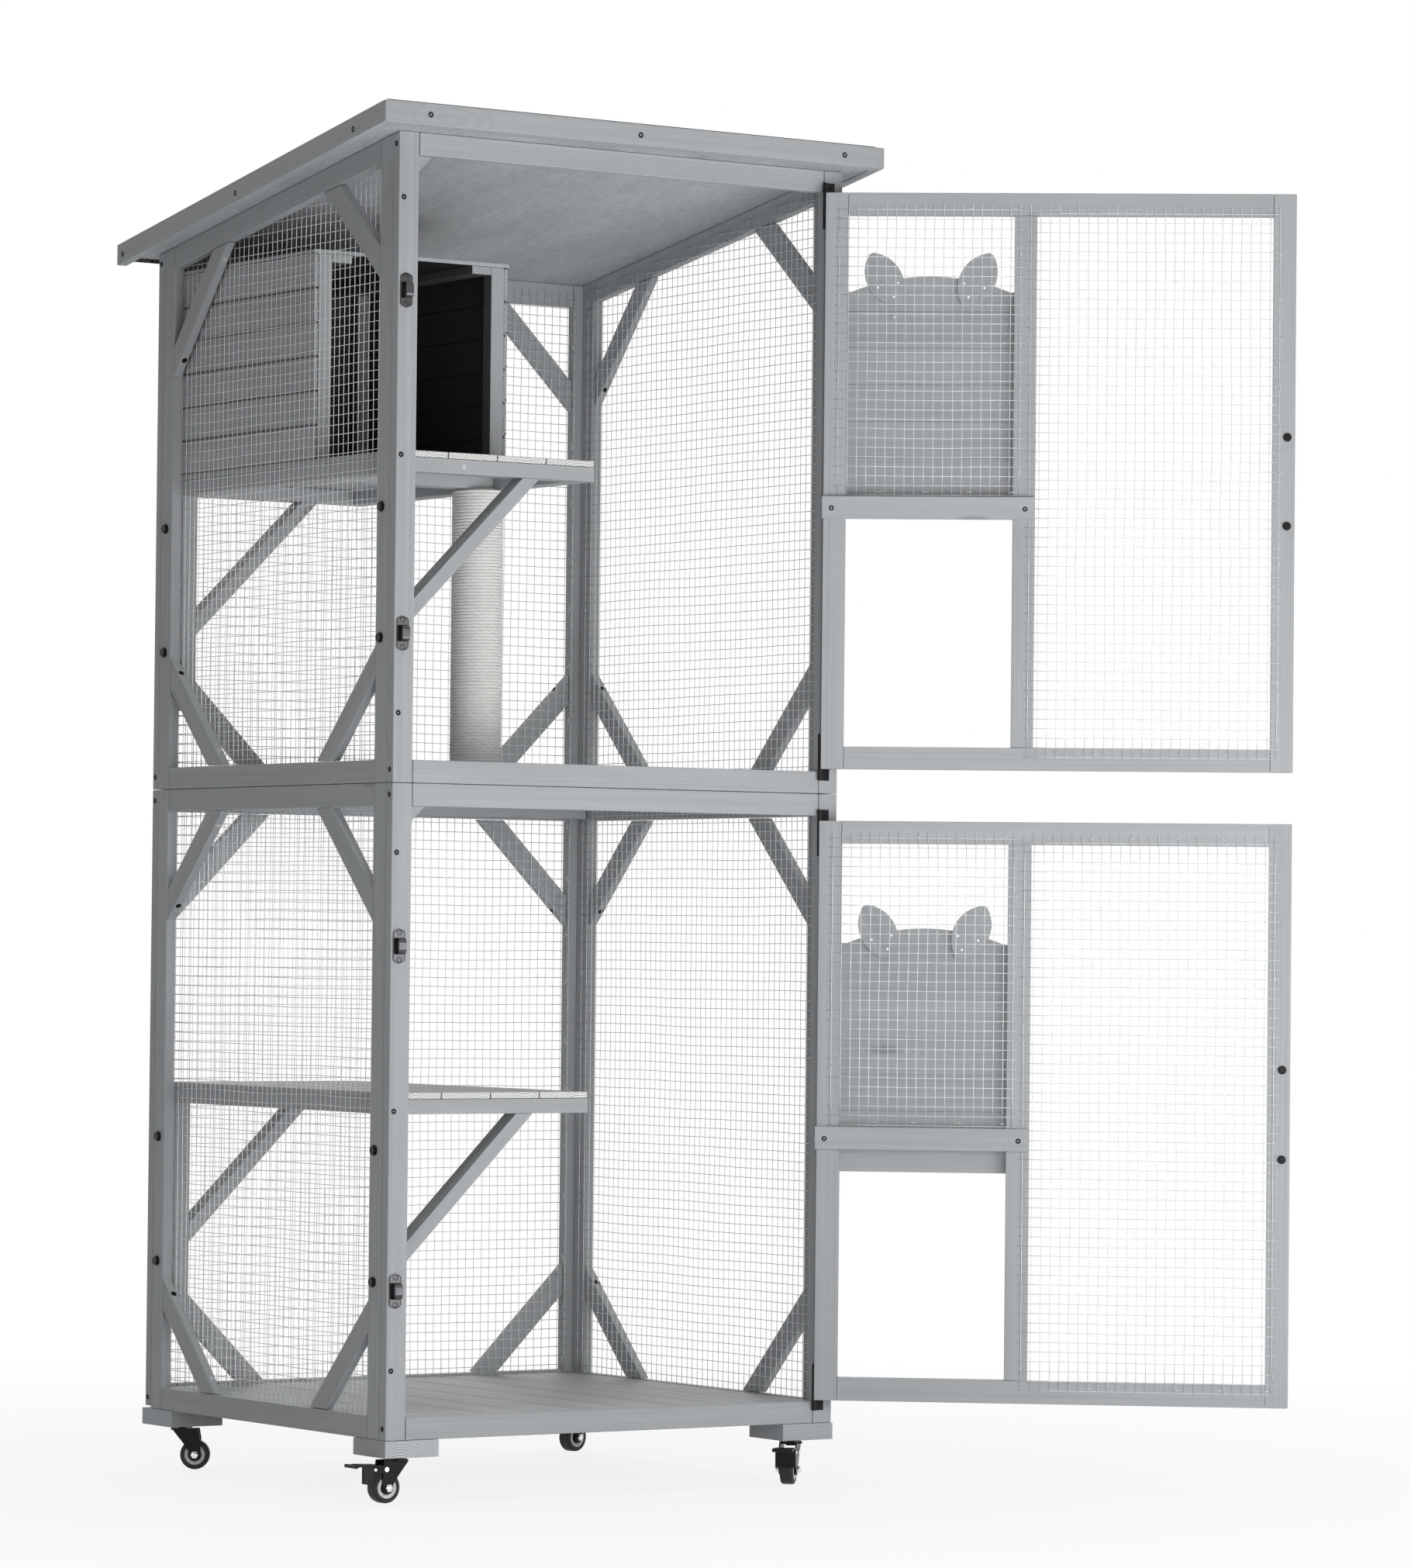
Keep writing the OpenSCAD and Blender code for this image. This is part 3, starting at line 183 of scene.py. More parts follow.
def attribute(tree, name, output="Fac"):
    made = tree.nodes.new("ShaderNodeAttribute")
    made.attribute_name = name
    return made.outputs[output]


def times(tree, first, *others):
    """Product of single values."""
    for other in others:
        first = math_node(tree, "MULTIPLY", first, other)
    return first


def shaded(tree, colour, light):
    """A colour, fixed or linked, made lighter or darker by a value."""
    made = tree.nodes.new("ShaderNodeVectorMath")
    made.operation = "SCALE"
    if isinstance(colour, tuple):
        made.inputs[0].default_value = colour[:3]
    else:
        tree.links.new(colour, made.inputs[0])
    tree.links.new(light, made.inputs["Scale"])
    return made.outputs[0]


def timber_material(name, base, ring_depth, end_base, streak=0.05):
    """Stained softwood: growth rings about a pith line that bend round knots, fibre streaks, a tone
    for each piece, and painted shade that takes faces marked as in shade to near black."""
    mat, tree, shader = new_material(name)
    wood = attribute(tree, "wood", "Vector")
    knots = add(tree, "ShaderNodeTexVoronoi", Scale=1.0)
    tree.links.new(scaled(tree, wood, (2.6, 9, 9)), knots.inputs["Vector"])
    off = knots.outputs["Distance"]
    near = ranged(tree, off, 0.03, 0.22, 0.018, 0.0)
    push = tree.nodes.new("ShaderNodeCombineXYZ")
    tree.links.new(near, push.inputs[1])
    tree.links.new(near, push.inputs[2])
    bent = tree.nodes.new("ShaderNodeVectorMath")
    tree.links.new(scaled(tree, wood, (0.05, 1, 1)), bent.inputs[0])
    tree.links.new(push.outputs[0], bent.inputs[1])
    rings = add(tree, "ShaderNodeTexWave", Scale=92, Distortion=7, Detail=3, Detail_Scale=0.11)
    rings.wave_type, rings.rings_direction = "RINGS", "X"
    tree.links.new(bent.outputs[0], rings.inputs["Vector"])
    fibre = noise_value(tree, scaled(tree, wood, (5, 330, 330)), 1, 3)
    streaks = noise_value(tree, scaled(tree, wood, (1.3, 75, 75)), 1, 3, 0.6)
    blotch = noise_value(tree, scaled(tree, wood, (3, 16, 16)), 1, 5, 0.6)
    late = ranged(tree, rings.outputs["Fac"], 0.45, 0.95)
    side = times(tree, ranged(tree, blotch, 0.25, 0.75, 0.94, 1.05),
                 ranged(tree, fibre, 0.3, 0.7, 0.965, 1.03),
                 ranged(tree, streaks, 0.3, 0.7, 1 - streak, 1 + streak * 0.7),
                 ranged(tree, attribute(tree, "tone"), -3, 3, 0.86, 1.14),
                 ranged(tree, late, 0, 1, 1.0, 1 - ring_depth),
                 ranged(tree, off, 0.035, 0.075, 0.72, 1.0))
    ends = times(tree, ranged(tree, late, 0, 1, 1.05, 0.62),
                 ranged(tree, fibre, 0.3, 0.7, 0.9, 1.06))
    end = attribute(tree, "end")
    value = tree.nodes.new("ShaderNodeMix")
    value.data_type = "FLOAT"
    tree.links.new(end, value.inputs[0])
    tree.links.new(side, value.inputs[2])
    tree.links.new(ends, value.inputs[3])
    colour = shaded(tree, mix_colour(tree, end, base, end_base), value.outputs[0])
    # Painted shade: faces marked as in shade are mixed towards near black.
    painted_shade = mix_colour(tree, attribute(tree, "painted_shade"), colour, grey(0.06))
    tree.links.new(painted_shade, shader.inputs["Base Color"])
    set_finish(shader, 0.62)
    height = math_node(tree, "MULTIPLY_ADD", late, 0.4, fibre)
    bumped(tree, shader, height, 0.25, 0.0004)
    return mat


def metal_material(name, base, metallic, roughness, vary=0.0, gloss=0.5):
    mat, tree, shader = new_material(name)
    shader.inputs["Metallic"].default_value = metallic
    set_finish(shader, roughness, gloss)
    place = object_place(tree)
    spots = noise_value(tree, place, 90, 4)
    lighter = tuple(min(1, c * 1.25) for c in base[:3]) + (1,)
    darker = tuple(c * 0.8 for c in base[:3]) + (1,)
    tree.links.new(mix_colour(tree, spots, darker, lighter), shader.inputs["Base Color"])
    if vary:
        tree.links.new(ranged(tree, spots, 0.3, 0.7, roughness - vary, roughness + vary),
                       shader.inputs["Roughness"])
    return mat


def plywood_material():
    """Thin stained plywood: broad veneer figure with blotches and fine dark flecks, and painted shade on
    faces marked as in shade.
    """
    mat, tree, shader = new_material("plywood")
    place = object_place(tree)
    figure = noise_value(tree, scaled(tree, place, (6, 2.2, 6)), 1.6, 6, 0.62)
    fleck = noise_value(tree, scaled(tree, place, (120, 45, 120)), 1, 4, 0.7)
    fine = noise_value(tree, scaled(tree, place, (420, 60, 420)), 1, 2)
    light = times(tree, ranged(tree, figure, 0.3, 0.7, 0.84, 1.12),
                  ranged(tree, fleck, 0.32, 0.6, 0.86, 1.04),
                  ranged(tree, fine, 0.3, 0.7, 0.95, 1.05))
    colour = shaded(tree, grey(0.5), light)
    # Painted shade: faces marked as in shade, such as the house roof's underside, go near black.
    tree.links.new(mix_colour(tree, attribute(tree, "painted_shade"), colour, grey(0.02)), shader.inputs["Base Color"])
    set_finish(shader, 0.75)
    bumped(tree, shader, fleck, 0.2, 0.0005)
    return mat


def felt_material():
    """Bitumen roofing felt with dark and pale mineral granules."""
    mat, tree, shader = new_material("roofing_felt")
    place = object_place(tree)
    grains = add(tree, "ShaderNodeTexVoronoi", Scale=650)
    tree.links.new(place, grains.inputs["Vector"])
    pick = tree.nodes.new("ShaderNodeSeparateColor")
    tree.links.new(grains.outputs["Color"], pick.inputs[0])
    light = ranged(tree, pick.outputs[0], 0.55, 1.0)
    broad = noise_value(tree, place, 7, 4)
    base = mix_colour(tree, light, grey(0.035), grey(0.24))
    wash = mix_colour(tree, ranged(tree, broad, 0.35, 0.7), base, grey(0.09))
    tree.links.new(mix_colour(tree, 0.3, base, wash), shader.inputs["Base Color"])
    set_finish(shader, 0.9)
    bumped(tree, shader, grains.outputs["Distance"], 0.6, 0.0006)
    return mat


def rope_material():
    """Twisted sisal: three strands along each turn, pale fibres with painted shade in the troughs between
    strands.
    """
    mat, tree, shader = new_material("sisal_rope")
    uv = tree.nodes.new("ShaderNodeUVMap")
    uv.uv_map = "rope"
    split = tree.nodes.new("ShaderNodeSeparateXYZ")
    tree.links.new(uv.outputs[0], split.inputs[0])
    turned = math_node(tree, "MULTIPLY_ADD", split.outputs[0], 85.0,
                       math_node(tree, "MULTIPLY", split.outputs[1], 3.0))
    strand = math_node(tree, "PINGPONG", turned, 0.5)
    height = math_node(tree, "POWER", math_node(tree, "MULTIPLY", strand, 2.0), 0.5)
    place = object_place(tree)
    fuzz = noise_value(tree, place, 900, 4, 0.7)
    broad = noise_value(tree, place, 28, 4)
    # The strand profile darkens the troughs between strands, as painted shade.
    light = times(tree, ranged(tree, height, 0.15, 0.8, 0.86, 1.0),
                  ranged(tree, fuzz, 0.3, 0.7, 0.93, 1.03),
                  ranged(tree, broad, 0.3, 0.7, 0.96, 1.02))
    tree.links.new(shaded(tree, (0.955, 0.95, 0.93), light), shader.inputs["Base Color"])
    set_finish(shader, 0.9)
    total = math_node(tree, "ADD", height, math_node(tree, "MULTIPLY", fuzz, 0.5))
    bumped(tree, shader, total, 0.7, 0.0009)
    return mat


timber = timber_material("stained_timber", grey(0.46), 0.05, grey(0.5))
end_block = timber_material("caster_block", grey(0.46), 0.07, grey(0.62))
board = timber_material("shelf_board", grey(0.49), 0.08, (0.80, 0.80, 0.775, 1), 0.07)
wire = metal_material("galvanised_wire", (0.68, 0.69, 0.70, 1), 0.3, 0.35, 0.06)
black = metal_material("black_steel", (0.007, 0.0075, 0.009, 1), 0.0, 0.3, 0.06, 0.16)
plated = metal_material("plated_black", (0.075, 0.076, 0.08, 1), 0.85, 0.24, 0.05)
dark_zinc = metal_material("dark_zinc", (0.016, 0.016, 0.018, 1), 0.0, 0.5, 0.08, 0.08)
bright = metal_material("bright_steel", (0.72, 0.72, 0.73, 1), 1.0, 0.28, 0.05)
rubber = metal_material("wheel_rubber", (0.018, 0.018, 0.019, 1), 0.0, 0.55, 0.08, 0.3)
rim_grey = metal_material("wheel_rim", (0.68, 0.69, 0.70, 1), 0.0, 0.3, 0.05)
# Painted shade: the near-black colour of the seam tongues stands for the shade in the board seams.
painted_seam_shade = metal_material("painted_seam_shade", grey(0.02), 0.0, 0.8, 0.05, 0.1)
card = metal_material("card_tube", (0.45, 0.42, 0.37, 1), 0.0, 0.85)
plug_wood = metal_material("plug_wood", grey(0.56), 0.0, 0.7, 0.05, 0.2)
plywood = plywood_material()
felt = felt_material()
rope = rope_material()


# Mesh helpers
def linked(name, data):
    obj = bpy.data.objects.new(name, data)
    scene.collection.objects.link(obj)
    return obj


def make_object(name, mesh, material, body, replaced=()):
    mesh.materials.append(material)
    obj = linked(name, mesh)
    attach(obj, body)
    if replaced:
        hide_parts(*replaced)


def angles(n):
    """Equal steps round a circle."""
    return [2 * math.pi * k / n for k in range(n)]


def to_mesh(bm, name):
    """The mesh of a bmesh, which is freed."""
    mesh = bpy.data.meshes.new(name)
    bm.to_mesh(mesh)
    bm.free()
    return mesh


class Soup:
    """Vertices and faces gathered from simple forms, in one piece's millimetres."""

    def __init__(self):
        self.verts, self.faces, self.smooth = [], [], []

    def grid(self, rows, smooth=True, caps=True):
        """Skin over rows of points, each row a ring."""
        base, n = len(self.verts), len(rows[0])
        for row in rows:
            self.verts.extend(row)
        for i in range(len(rows) - 1):
            for k in range(n):
                a, b = base + i * n + k, base + i * n + (k + 1) % n
                self.faces.append((a, b, b + n, a + n))
                self.smooth.append(smooth)
        if caps:
            self.faces.append(tuple(base + k for k in reversed(range(n))))
            self.faces.append(tuple(base + (len(rows) - 1) * n + k for k in range(n)))
            self.smooth += [False, False]

    def tube(self, points, r, sides):
        points = [Vector(p) for p in points]
        way = (points[-1] - points[0]).normalized()
        side = way.orthogonal().normalized()
        rows = []
        for i, p in enumerate(points):
            w = (points[min(i + 1, len(points) - 1)] - points[max(i - 1, 0)]).normalized()
            n = (side - w * side.dot(w)).normalized()
            b = w.cross(n)
            side = n
            rows.append([p + r * (math.cos(t) * n + math.sin(t) * b) for t in angles(sides)])
        self.grid(rows)

    def lathe(self, centre, axis, profile, sides=32, caps=True):
        """Turned form; profile is a list of (distance along the axis, radius)."""
        axis = Vector(axis).normalized()
        n = axis.orthogonal().normalized()
        b = axis.cross(n)
        rows = [[Vector(centre) + axis * d + r * (math.cos(t) * n + math.sin(t) * b) for t in angles(sides)]
                for d, r in profile]
        self.grid(rows, smooth=False, caps=caps)

    def hoop(self, centre, axis, profile, sides=32):
        """Turned ring whose profile is a closed outline of (distance along the axis, radius)."""
        self.lathe(centre, axis, list(profile) + [profile[0]], sides, False)

    def strap(self, path, x, half_w, thick):
        """Flat strip across X, bent along a path of (y, z) with its outer side on the left of the way."""
        rows, ease = [], 0.5
        for i, (y, z) in enumerate(path):
            ya, za = path[max(i - 1, 0)]
            yb, zb = path[min(i + 1, len(path) - 1)]
            n = Vector((0, za - zb, yb - ya)).normalized()
            at = Vector((x, y, z))
            rows.append([at + Vector((dx, 0, 0)) - n * d for dx, d in (
                (-half_w, ease), (-half_w + ease, 0), (half_w - ease, 0), (half_w, ease),
                (half_w, thick), (-half_w, thick))])
        self.grid(rows, smooth=False)

    def put(self, mesh_data, matrix):
        """Adds a ready form, given as (vertices, faces), through a matrix."""
        base = len(self.verts)
        verts, faces = mesh_data
        self.verts.extend(matrix @ v for v in verts)
        self.faces.extend(tuple(base + i for i in f) for f in faces)
        self.smooth += [False] * len(faces)

    def object(self, name, place, material, body, slot, replaced=()):
        mesh = bpy.data.meshes.new(name)
        mesh.from_pydata([place @ Vector(v) for v in self.verts], [], self.faces)
        mesh.polygons.foreach_set("use_smooth", self.smooth)
        mesh.update()
        make_object(name, mesh, material, body, replaced)


def cad_mesh(node):
    """The CAD node's mesh with its split vertices joined and flat faces merged."""
    bm = bmesh.new()
    bm.from_mesh(frame["nodes"][node].data)
    bmesh.ops.remove_doubles(bm, verts=bm.verts, dist=1e-5)
    bmesh.ops.dissolve_limit(bm, angle_limit=math.radians(0.5), verts=bm.verts, edges=bm.edges)
    return bm


def bevel_edges(bm, width):
    """Eases every edge sharper than 30 degrees; width is in millimetres."""
    edges = [e for e in bm.edges if len(e.link_faces) == 2 and e.calc_face_angle() > math.radians(30)]
    bmesh.ops.bevel(bm, geom=edges, offset=width * MM, offset_type="OFFSET", segments=2, profile=0.5,
                    affect="EDGES", clamp_overlap=True)


def islands(bm):
    """Connected groups of faces."""
    seen, found = set(), []
    for start in bm.faces:
        if start in seen:
            continue
        seen.add(start)
        group, queue = [], [start]
        while queue:
            face = queue.pop()
            group.append(face)
            for edge in face.edges:
                for other in edge.link_faces:
                    if other not in seen:
                        seen.add(other)
                        queue.append(other)
        found.append(group)
    return found


def write_painted_shade(bm, painted_shade_of):
    """Writes how much painted shade each face gets, where the piece has faces in shade."""
    if painted_shade_of:
        painted_shade = bm.faces.layers.float.new("painted_shade")
        for f in bm.faces:
            f[painted_shade] = painted_shade_of(f)


def grain(bm, along=None, painted_shade_of=None, lift=0.0, spread=1.0):
    """Writes each piece's wood coordinates, tone and end-grain mark. along(centre) may give its direction,
    painted_shade_of(face) how much painted shade a face gets, lift makes the whole lighter, and spread is how
    much the pieces differ."""
    wood = bm.verts.layers.float_vector.new("wood")
    tone = bm.verts.layers.float.new("tone")
    end = bm.faces.layers.float.new("end")
    write_painted_shade(bm, painted_shade_of)
    for group in islands(bm):
        verts = {v for f in group for v in f.verts}
        centre = sum((v.co for v in verts), Vector()) / len(verts)
        way = along(centre) if along else None
        if way is None:
            edges = {e for f in group for e in f.edges}
            long = max(edges, key=lambda e: e.calc_length())
            way = (long.verts[1].co - long.verts[0].co).normalized()
        flat = max((f for f in group if abs(f.normal.dot(way)) < 0.5), key=lambda f: f.calc_area())
        thick = (flat.normal - way * flat.normal.dot(way)).normalized()
        across = way.cross(thick)
        start = random.uniform(0, 40)
        pith = (random.uniform(-0.03, 0.03), random.uniform(0.012, 0.06) * random.choice((-1, 1)))
        shade = random.uniform(-1, 1) * spread + lift
        for v in verts:
            d = v.co - centre
            v[wood] = (d.dot(way) + start, d.dot(across) + pith[0], d.dot(thick) + pith[1])
            v[tone] = shade
        for f in group:
            f[end] = 1.0 if abs(f.normal.dot(way)) > 0.85 else 0.0


def timber_piece(node, material=timber, bevel=1.0, along=None, painted_shade_of=None, seam=0.0):
    """A CAD node's timbers with eased edges, grain along each piece and an open seam between them."""
    bm = cad_mesh(node)
    if seam:
        bm.normal_update()
        moves = [(v, v.normal * v.calc_shell_factor() * seam * MM) for v in bm.verts]
        for v, move in moves:
            v.co -= move
    bevel_edges(bm, bevel)
    grain(bm, along, painted_shade_of)
    body = frame["nodes"][node]["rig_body"]
    make_object(node + ".timber", to_mesh(bm, node), material, body, (node,))


def plain_piece(node, material, bevel=0.3, painted_shade_of=None, trim=0.0):
    """A CAD node with eased edges in one finish, its outline drawn in by trim millimetres."""
    bm = cad_mesh(node)
    if trim:
        mid = sum((v.co for v in bm.verts), Vector()) / len(bm.verts)
        for v in bm.verts:
            v.co.x -= math.copysign(trim * MM, v.co.x - mid.x)
            v.co.y -= math.copysign(trim * MM, v.co.y - mid.y)
    bevel_edges(bm, bevel)
    write_painted_shade(bm, painted_shade_of)
    mesh = to_mesh(bm, node)
    for polygon in mesh.polygons:
        polygon.use_smooth = False
    body = frame["nodes"][node]["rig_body"]
    make_object(node + ".dressed", mesh, material, body, (node,))


def rect(x0, z0, x1, z1):
    return [(x0, z0), (x1, z0), (x1, z1), (x0, z1)]


def prism(outline, y0, y1, place):
    """Board with an outline in X and Z between two depths, as a bmesh in the part's frame."""
    bm = bmesh.new()
    rings = [[bm.verts.new(place @ Vector((x, y, z))) for x, z in outline] for y in (y0, y1)]
    n = len(outline)
    bm.faces.new(rings[0])
    bm.faces.new(list(reversed(rings[1])))
    for k in range(n):
        bm.faces.new((rings[0][k], rings[1][k], rings[1][(k + 1) % n], rings[0][(k + 1) % n]))
    bmesh.ops.recalc_face_normals(bm, faces=bm.faces)
    return bm


def boards_piece(name, boards, place, body, replaced, along=None, lift=0.0, spread=1.0):
    """Boards given as (outline, near depth, far depth, bevel), in one piece of timber."""
    whole = bmesh.new()
    for outline, y0, y1, bevel in boards:
        part = prism(outline, y0, y1, place)
        bevel_edges(part, bevel)
        temp = to_mesh(part, "temp")
        whole.from_mesh(temp)
        bpy.data.meshes.remove(temp)
    grain(whole, along, None, lift, spread)
    make_object(name, to_mesh(whole, name), timber, body, replaced)


# Timbers and boards
def block_grain(centre):
    """The front left and rear right blocks show end grain to the front."""
    return Vector((0, 1, 0)) if centre.x * centre.y > 0 else Vector((1, 0, 0))


HOUSE_MID = frame_place @ Vector((165.5, 428.5, 1400))


def house_wall_painted_shade(face):
    """Painted shade: near black on the house's inner faces, and half dark on the tilted bevels of its
    V-shaped seams.
    """
    way = HOUSE_MID - face.calc_center_median()
    way.z = 0
    if face.normal.dot(way.normalized()) > 0.3:
        return 1.0
    return 0.5 if 0.3 < abs(face.normal.z) < 0.97 else 0.0


def house_post_painted_shade(face):
    # Painted shade: all but the front face of each house corner post go near black.
    return 0.0 if face.normal.y < -0.7 else 0.85


def underside_painted_shade(face):
    # Painted shade: faces turned downwards go near black.
    return 1.0 if face.normal.z < -0.5 else 0.0


for section in ("lower", "upper"):
    for wall in ("front", "left_wall", "right_wall", "back_wall"):
        timber_piece(f"{section}_{wall}_frame", bevel=1.1, seam=0.4)
    timber_piece(section + "_shelf_frame", bevel=0.8)
    timber_piece(section + "_shelf_boards", board, 1.0, seam=0.4)
    timber_piece(section + "_hatch_guides", bevel=0.4)
    left, right, top = DOOR_X0 + RAIL, DOOR_X1 - RAIL, DOOR_H - RAIL
    mid, foot = DOOR_X1 - MID_STILE_U, (DOOR_Y0, DOOR_Y1)
    # lift=1.0 paints the door frames lighter: painted light for the light falling on their faces.
    boards_piece(section + "_door_frame.boards", [
        (rect(DOOR_X0, 0, left, DOOR_H), *foot, 0.9),
        (rect(right, 0, DOOR_X1, DOOR_H), *foot, 0.9),
        (rect(left + 0.4, 0, right - 0.4, RAIL), *foot, 0.9),
        (rect(left + 0.4, top, right - 0.4, DOOR_H), *foot, 0.9),
        (rect(mid - RAIL, RAIL + 0.4, mid, top - 0.4), *foot, 0.9),
        (rect(mid - RAIL, BATTEN_V, DOOR_X1 + 1.5, BATTEN_V + RAIL), DOOR_Y1, DOOR_Y1 + 9, 0.9)],
        door_place(section), section + "_door", (section + "_door_frame",), lift=1.0)
timber_piece("door_stop_gussets", bevel=0.8)
for level in ("floor", "mid_platform"):
    timber_piece(level + "_boards", board, 1.2, seam=0.6)
    timber_piece(level + "_battens", bevel=0.8)
# The house's inner faces, seam bevels, corner posts and roof underside get painted shade.
timber_piece("house_walls", bevel=1.8, painted_shade_of=house_wall_painted_shade)
timber_piece("house_corner_posts", bevel=0.7, painted_shade_of=house_post_painted_shade)
timber_piece("roof_fascia", bevel=1.1)
timber_piece("caster_blocks", end_block, 0.8, block_grain)
plain_piece("roof_panel", plywood, 0.4)
# The house roof panel's underside gets painted shade.
plain_piece("house_roof_panel", plywood, 0.4, painted_shade_of=underside_painted_shade)
plain_piece("roof_covering", felt, 0.3, trim=9)


def seam_tongues(node, slot):
    """Thin tongues in near-black painted shade that close the seams between a node's boards."""
    bm = cad_mesh(node)
    boxes = []
    for group in islands(bm):
        points = [v.co for f in group for v in f.verts]
        boxes.append([(min(p[i] for p in points), max(p[i] for p in points)) for i in range(3)])
    bm.free()
    tongues = Soup()
    half_t, into_own, into_next, short = 1 * MM, 2.2 * MM, 2.4 * MM, 1.5 * MM
    for box in boxes:
        thin, across, along = sorted(range(3), key=lambda i: box[i][1] - box[i][0])
        edge, middle, half_way = box[across][1], sum(box[thin]) / 2, sum(box[along]) / 2
        if not any(abs(other[across][0] - edge) < 2 * MM and other[thin][0] < middle < other[thin][1]
                   and other[along][0] < half_way < other[along][1] for other in boxes):
            continue
        span = [None, None, None]
        span[thin] = (middle - half_t, middle + half_t)
        span[across] = (edge - into_own, edge + into_next)
        span[along] = (box[along][0] + short, box[along][1] - short)
        (xa, xb), (ya, yb), levels = span
        tongues.grid([[(xa, ya, z), (xb, ya, z), (xb, yb, z), (xa, yb, z)] for z in levels], smooth=False)
    tongues.object(node + ".tongues", Matrix(), painted_seam_shade, "root", slot)


seam_tongues("house_walls", "stained_timber")
for level in ("floor", "mid_platform", "lower_shelf", "upper_shelf"):
    seam_tongues(level + "_boards", "shelf_board")


# Hatches
BOARD_EDGES = (0, 32, 81, 130, 179, 228, 277)
HATCH_H, HATCH_ARCH, HATCH_T = 303, 21, 8
EAR_AT, EAR_TURN = (62, 319), math.radians(62)


def hatch_top(mid, x0, x1):
    """Points of the panel's arched top, from its right shoulder to its left one."""
    chord = MID_STILE_U - RAIL - 10
    r = (chord * chord / 4 + HATCH_ARCH * HATCH_ARCH) / (2 * HATCH_ARCH)
    points = [(x1, HATCH_H)]
    for k in range(25):
        dx = chord * (0.5 - k / 24)
        points.append((mid + dx, HATCH_H + HATCH_ARCH - r + math.sqrt(r * r - dx * dx)))
    return points + [(x0, HATCH_H)]


def ear(mid, side):
    """Outline of a leaf between two arcs, its tips cut off square."""
    r, half, cut = 47, 41, 39.2
    drop = math.sqrt(r * r - half * half)
    spread = math.asin(cut / r)
    arc = [(r * math.sin(t), r * math.cos(t) - drop) for t in (spread * (1 - k / 8) for k in range(17))]
    c, d = math.cos(EAR_TURN), math.sin(EAR_TURN)
    return [(mid + side * (EAR_AT[0] + x * c - z * d), EAR_AT[1] + x * d + z * c)
            for x, z in arc + [(-x, -z) for x, z in arc]]


def hatch(which):
    """Level boards with V-shaped seams under an arched top, and two leaf-shaped ears behind them."""
    place = door_place(which) @ Matrix.Translation((0, 0, HATCH_FOOT[which]))
    back = place.inverted()
    x0, x1 = DOOR_X1 - MID_STILE_U - 10.5, DOOR_X1 - RAIL + 10.5
    mid, y1 = (x0 + x1) / 2, DOOR_Y0 - 0.3
    boards = []
    for low, high in zip(BOARD_EDGES, BOARD_EDGES[1:]):
        boards.append((rect(x0, low + 0.1, x1, high - 0.1), y1 - HATCH_T, y1, 0.8))
    boards.append(([(x0, BOARD_EDGES[-1] + 0.1), (x1, BOARD_EDGES[-1] + 0.1)] + hatch_top(mid, x0, x1),
                   y1 - HATCH_T, y1, 1.0))
    boards += [(ear(mid, side), y1, y1 + 6, 0.7) for side in (-1, 1)]

    def along(centre):
        off = (back @ centre).x - mid
        lean = EAR_TURN if off > 20 else math.pi - EAR_TURN if off < -20 else 0
        return (place.to_3x3() @ Vector((math.cos(lean), 0, math.sin(lean)))).normalized()

    body = which + "_hatch"
    boards_piece(body + ".boards", boards, place, body, (body,), along, spread=0.3)
    brads = Soup()
    for side in (-1, 1):
        for dx, dz in ((17.8, -4.5), (-9, -10.4), (12.3, -23)):
            brads.lathe((mid + side * (EAR_AT[0] - dx), y1 + 5.9, EAR_AT[1] + dz), (0, 1, 0),
                        [(0, 1.5), (0.25, 1.4), (0.4, 0.7)], 12)
    if which == "upper":
        brads.lathe((567, y1 - 0.1, 269), (0, 1, 0), [(0, 1.8), (4.6, 1.8), (5.0, 1.3)], 16)
    brads.object(body + ".brads", place, bright, body, "galvanised_wire")


for which in ("upper", "lower"):
    hatch(which)


# Wire mesh
def wire_net(soup, point, u0, u1, v0, top, seed, level_d=0.98, upright_d=0.55):
    """Welded wires over a panel. point(u, v, d) places a spot, top(u) is the panel's height there."""
    r, margin, fade, step = 0.5, 12, 60, 42
    wave, ripple, swell = 150, 55, 210

    def bent(u, v, d):
        near = min(u - u0, u1 - u, v - v0, top(u) - v)
        ease = min(1, max(0, (near - margin) / fade))
        shift = noise.noise_vector(Vector((u / wave, v / wave, seed))) * 1.9 * ease
        shift += noise.noise_vector(Vector((u / ripple, v / ripple, seed + 3))) * 0.45 * ease
        out = noise.noise(Vector((u / swell, v / swell, seed + 7))) * 1.8 * ease
        return point(u + shift.x, v + shift.y, d - abs(out))

    count = int((u1 - u0) / MESH_PITCH)
    first = u0 + (u1 - u0 - count * MESH_PITCH) / 2 + 0.3
    for k in range(count + 1):
        u = min(first + k * MESH_PITCH, u1 - 0.6)
        high = top(u) - 0.6
        steps = max(2, int((high - v0) / step))
        rise = high - v0 - 0.6
        soup.tube([bent(u, v0 + 0.6 + rise * i / steps, upright_d) for i in range(steps + 1)], r, 5)
    v = v0 + 0.8
    highest = max(top(u0), top(u1))
    while v < highest - 1:
        inside = [u for u in (u0 + (u1 - u0) * i / 200 for i in range(201)) if top(u) >= v + 0.6]
        if len(inside) > 2:
            a, b = inside[0] + 0.6, inside[-1] - 0.6
            steps = max(2, int((b - a) / step))
            soup.tube([bent(a + (b - a) * i / steps, v, level_d) for i in range(steps + 1)], r, 5)
        v += MESH_PITCH


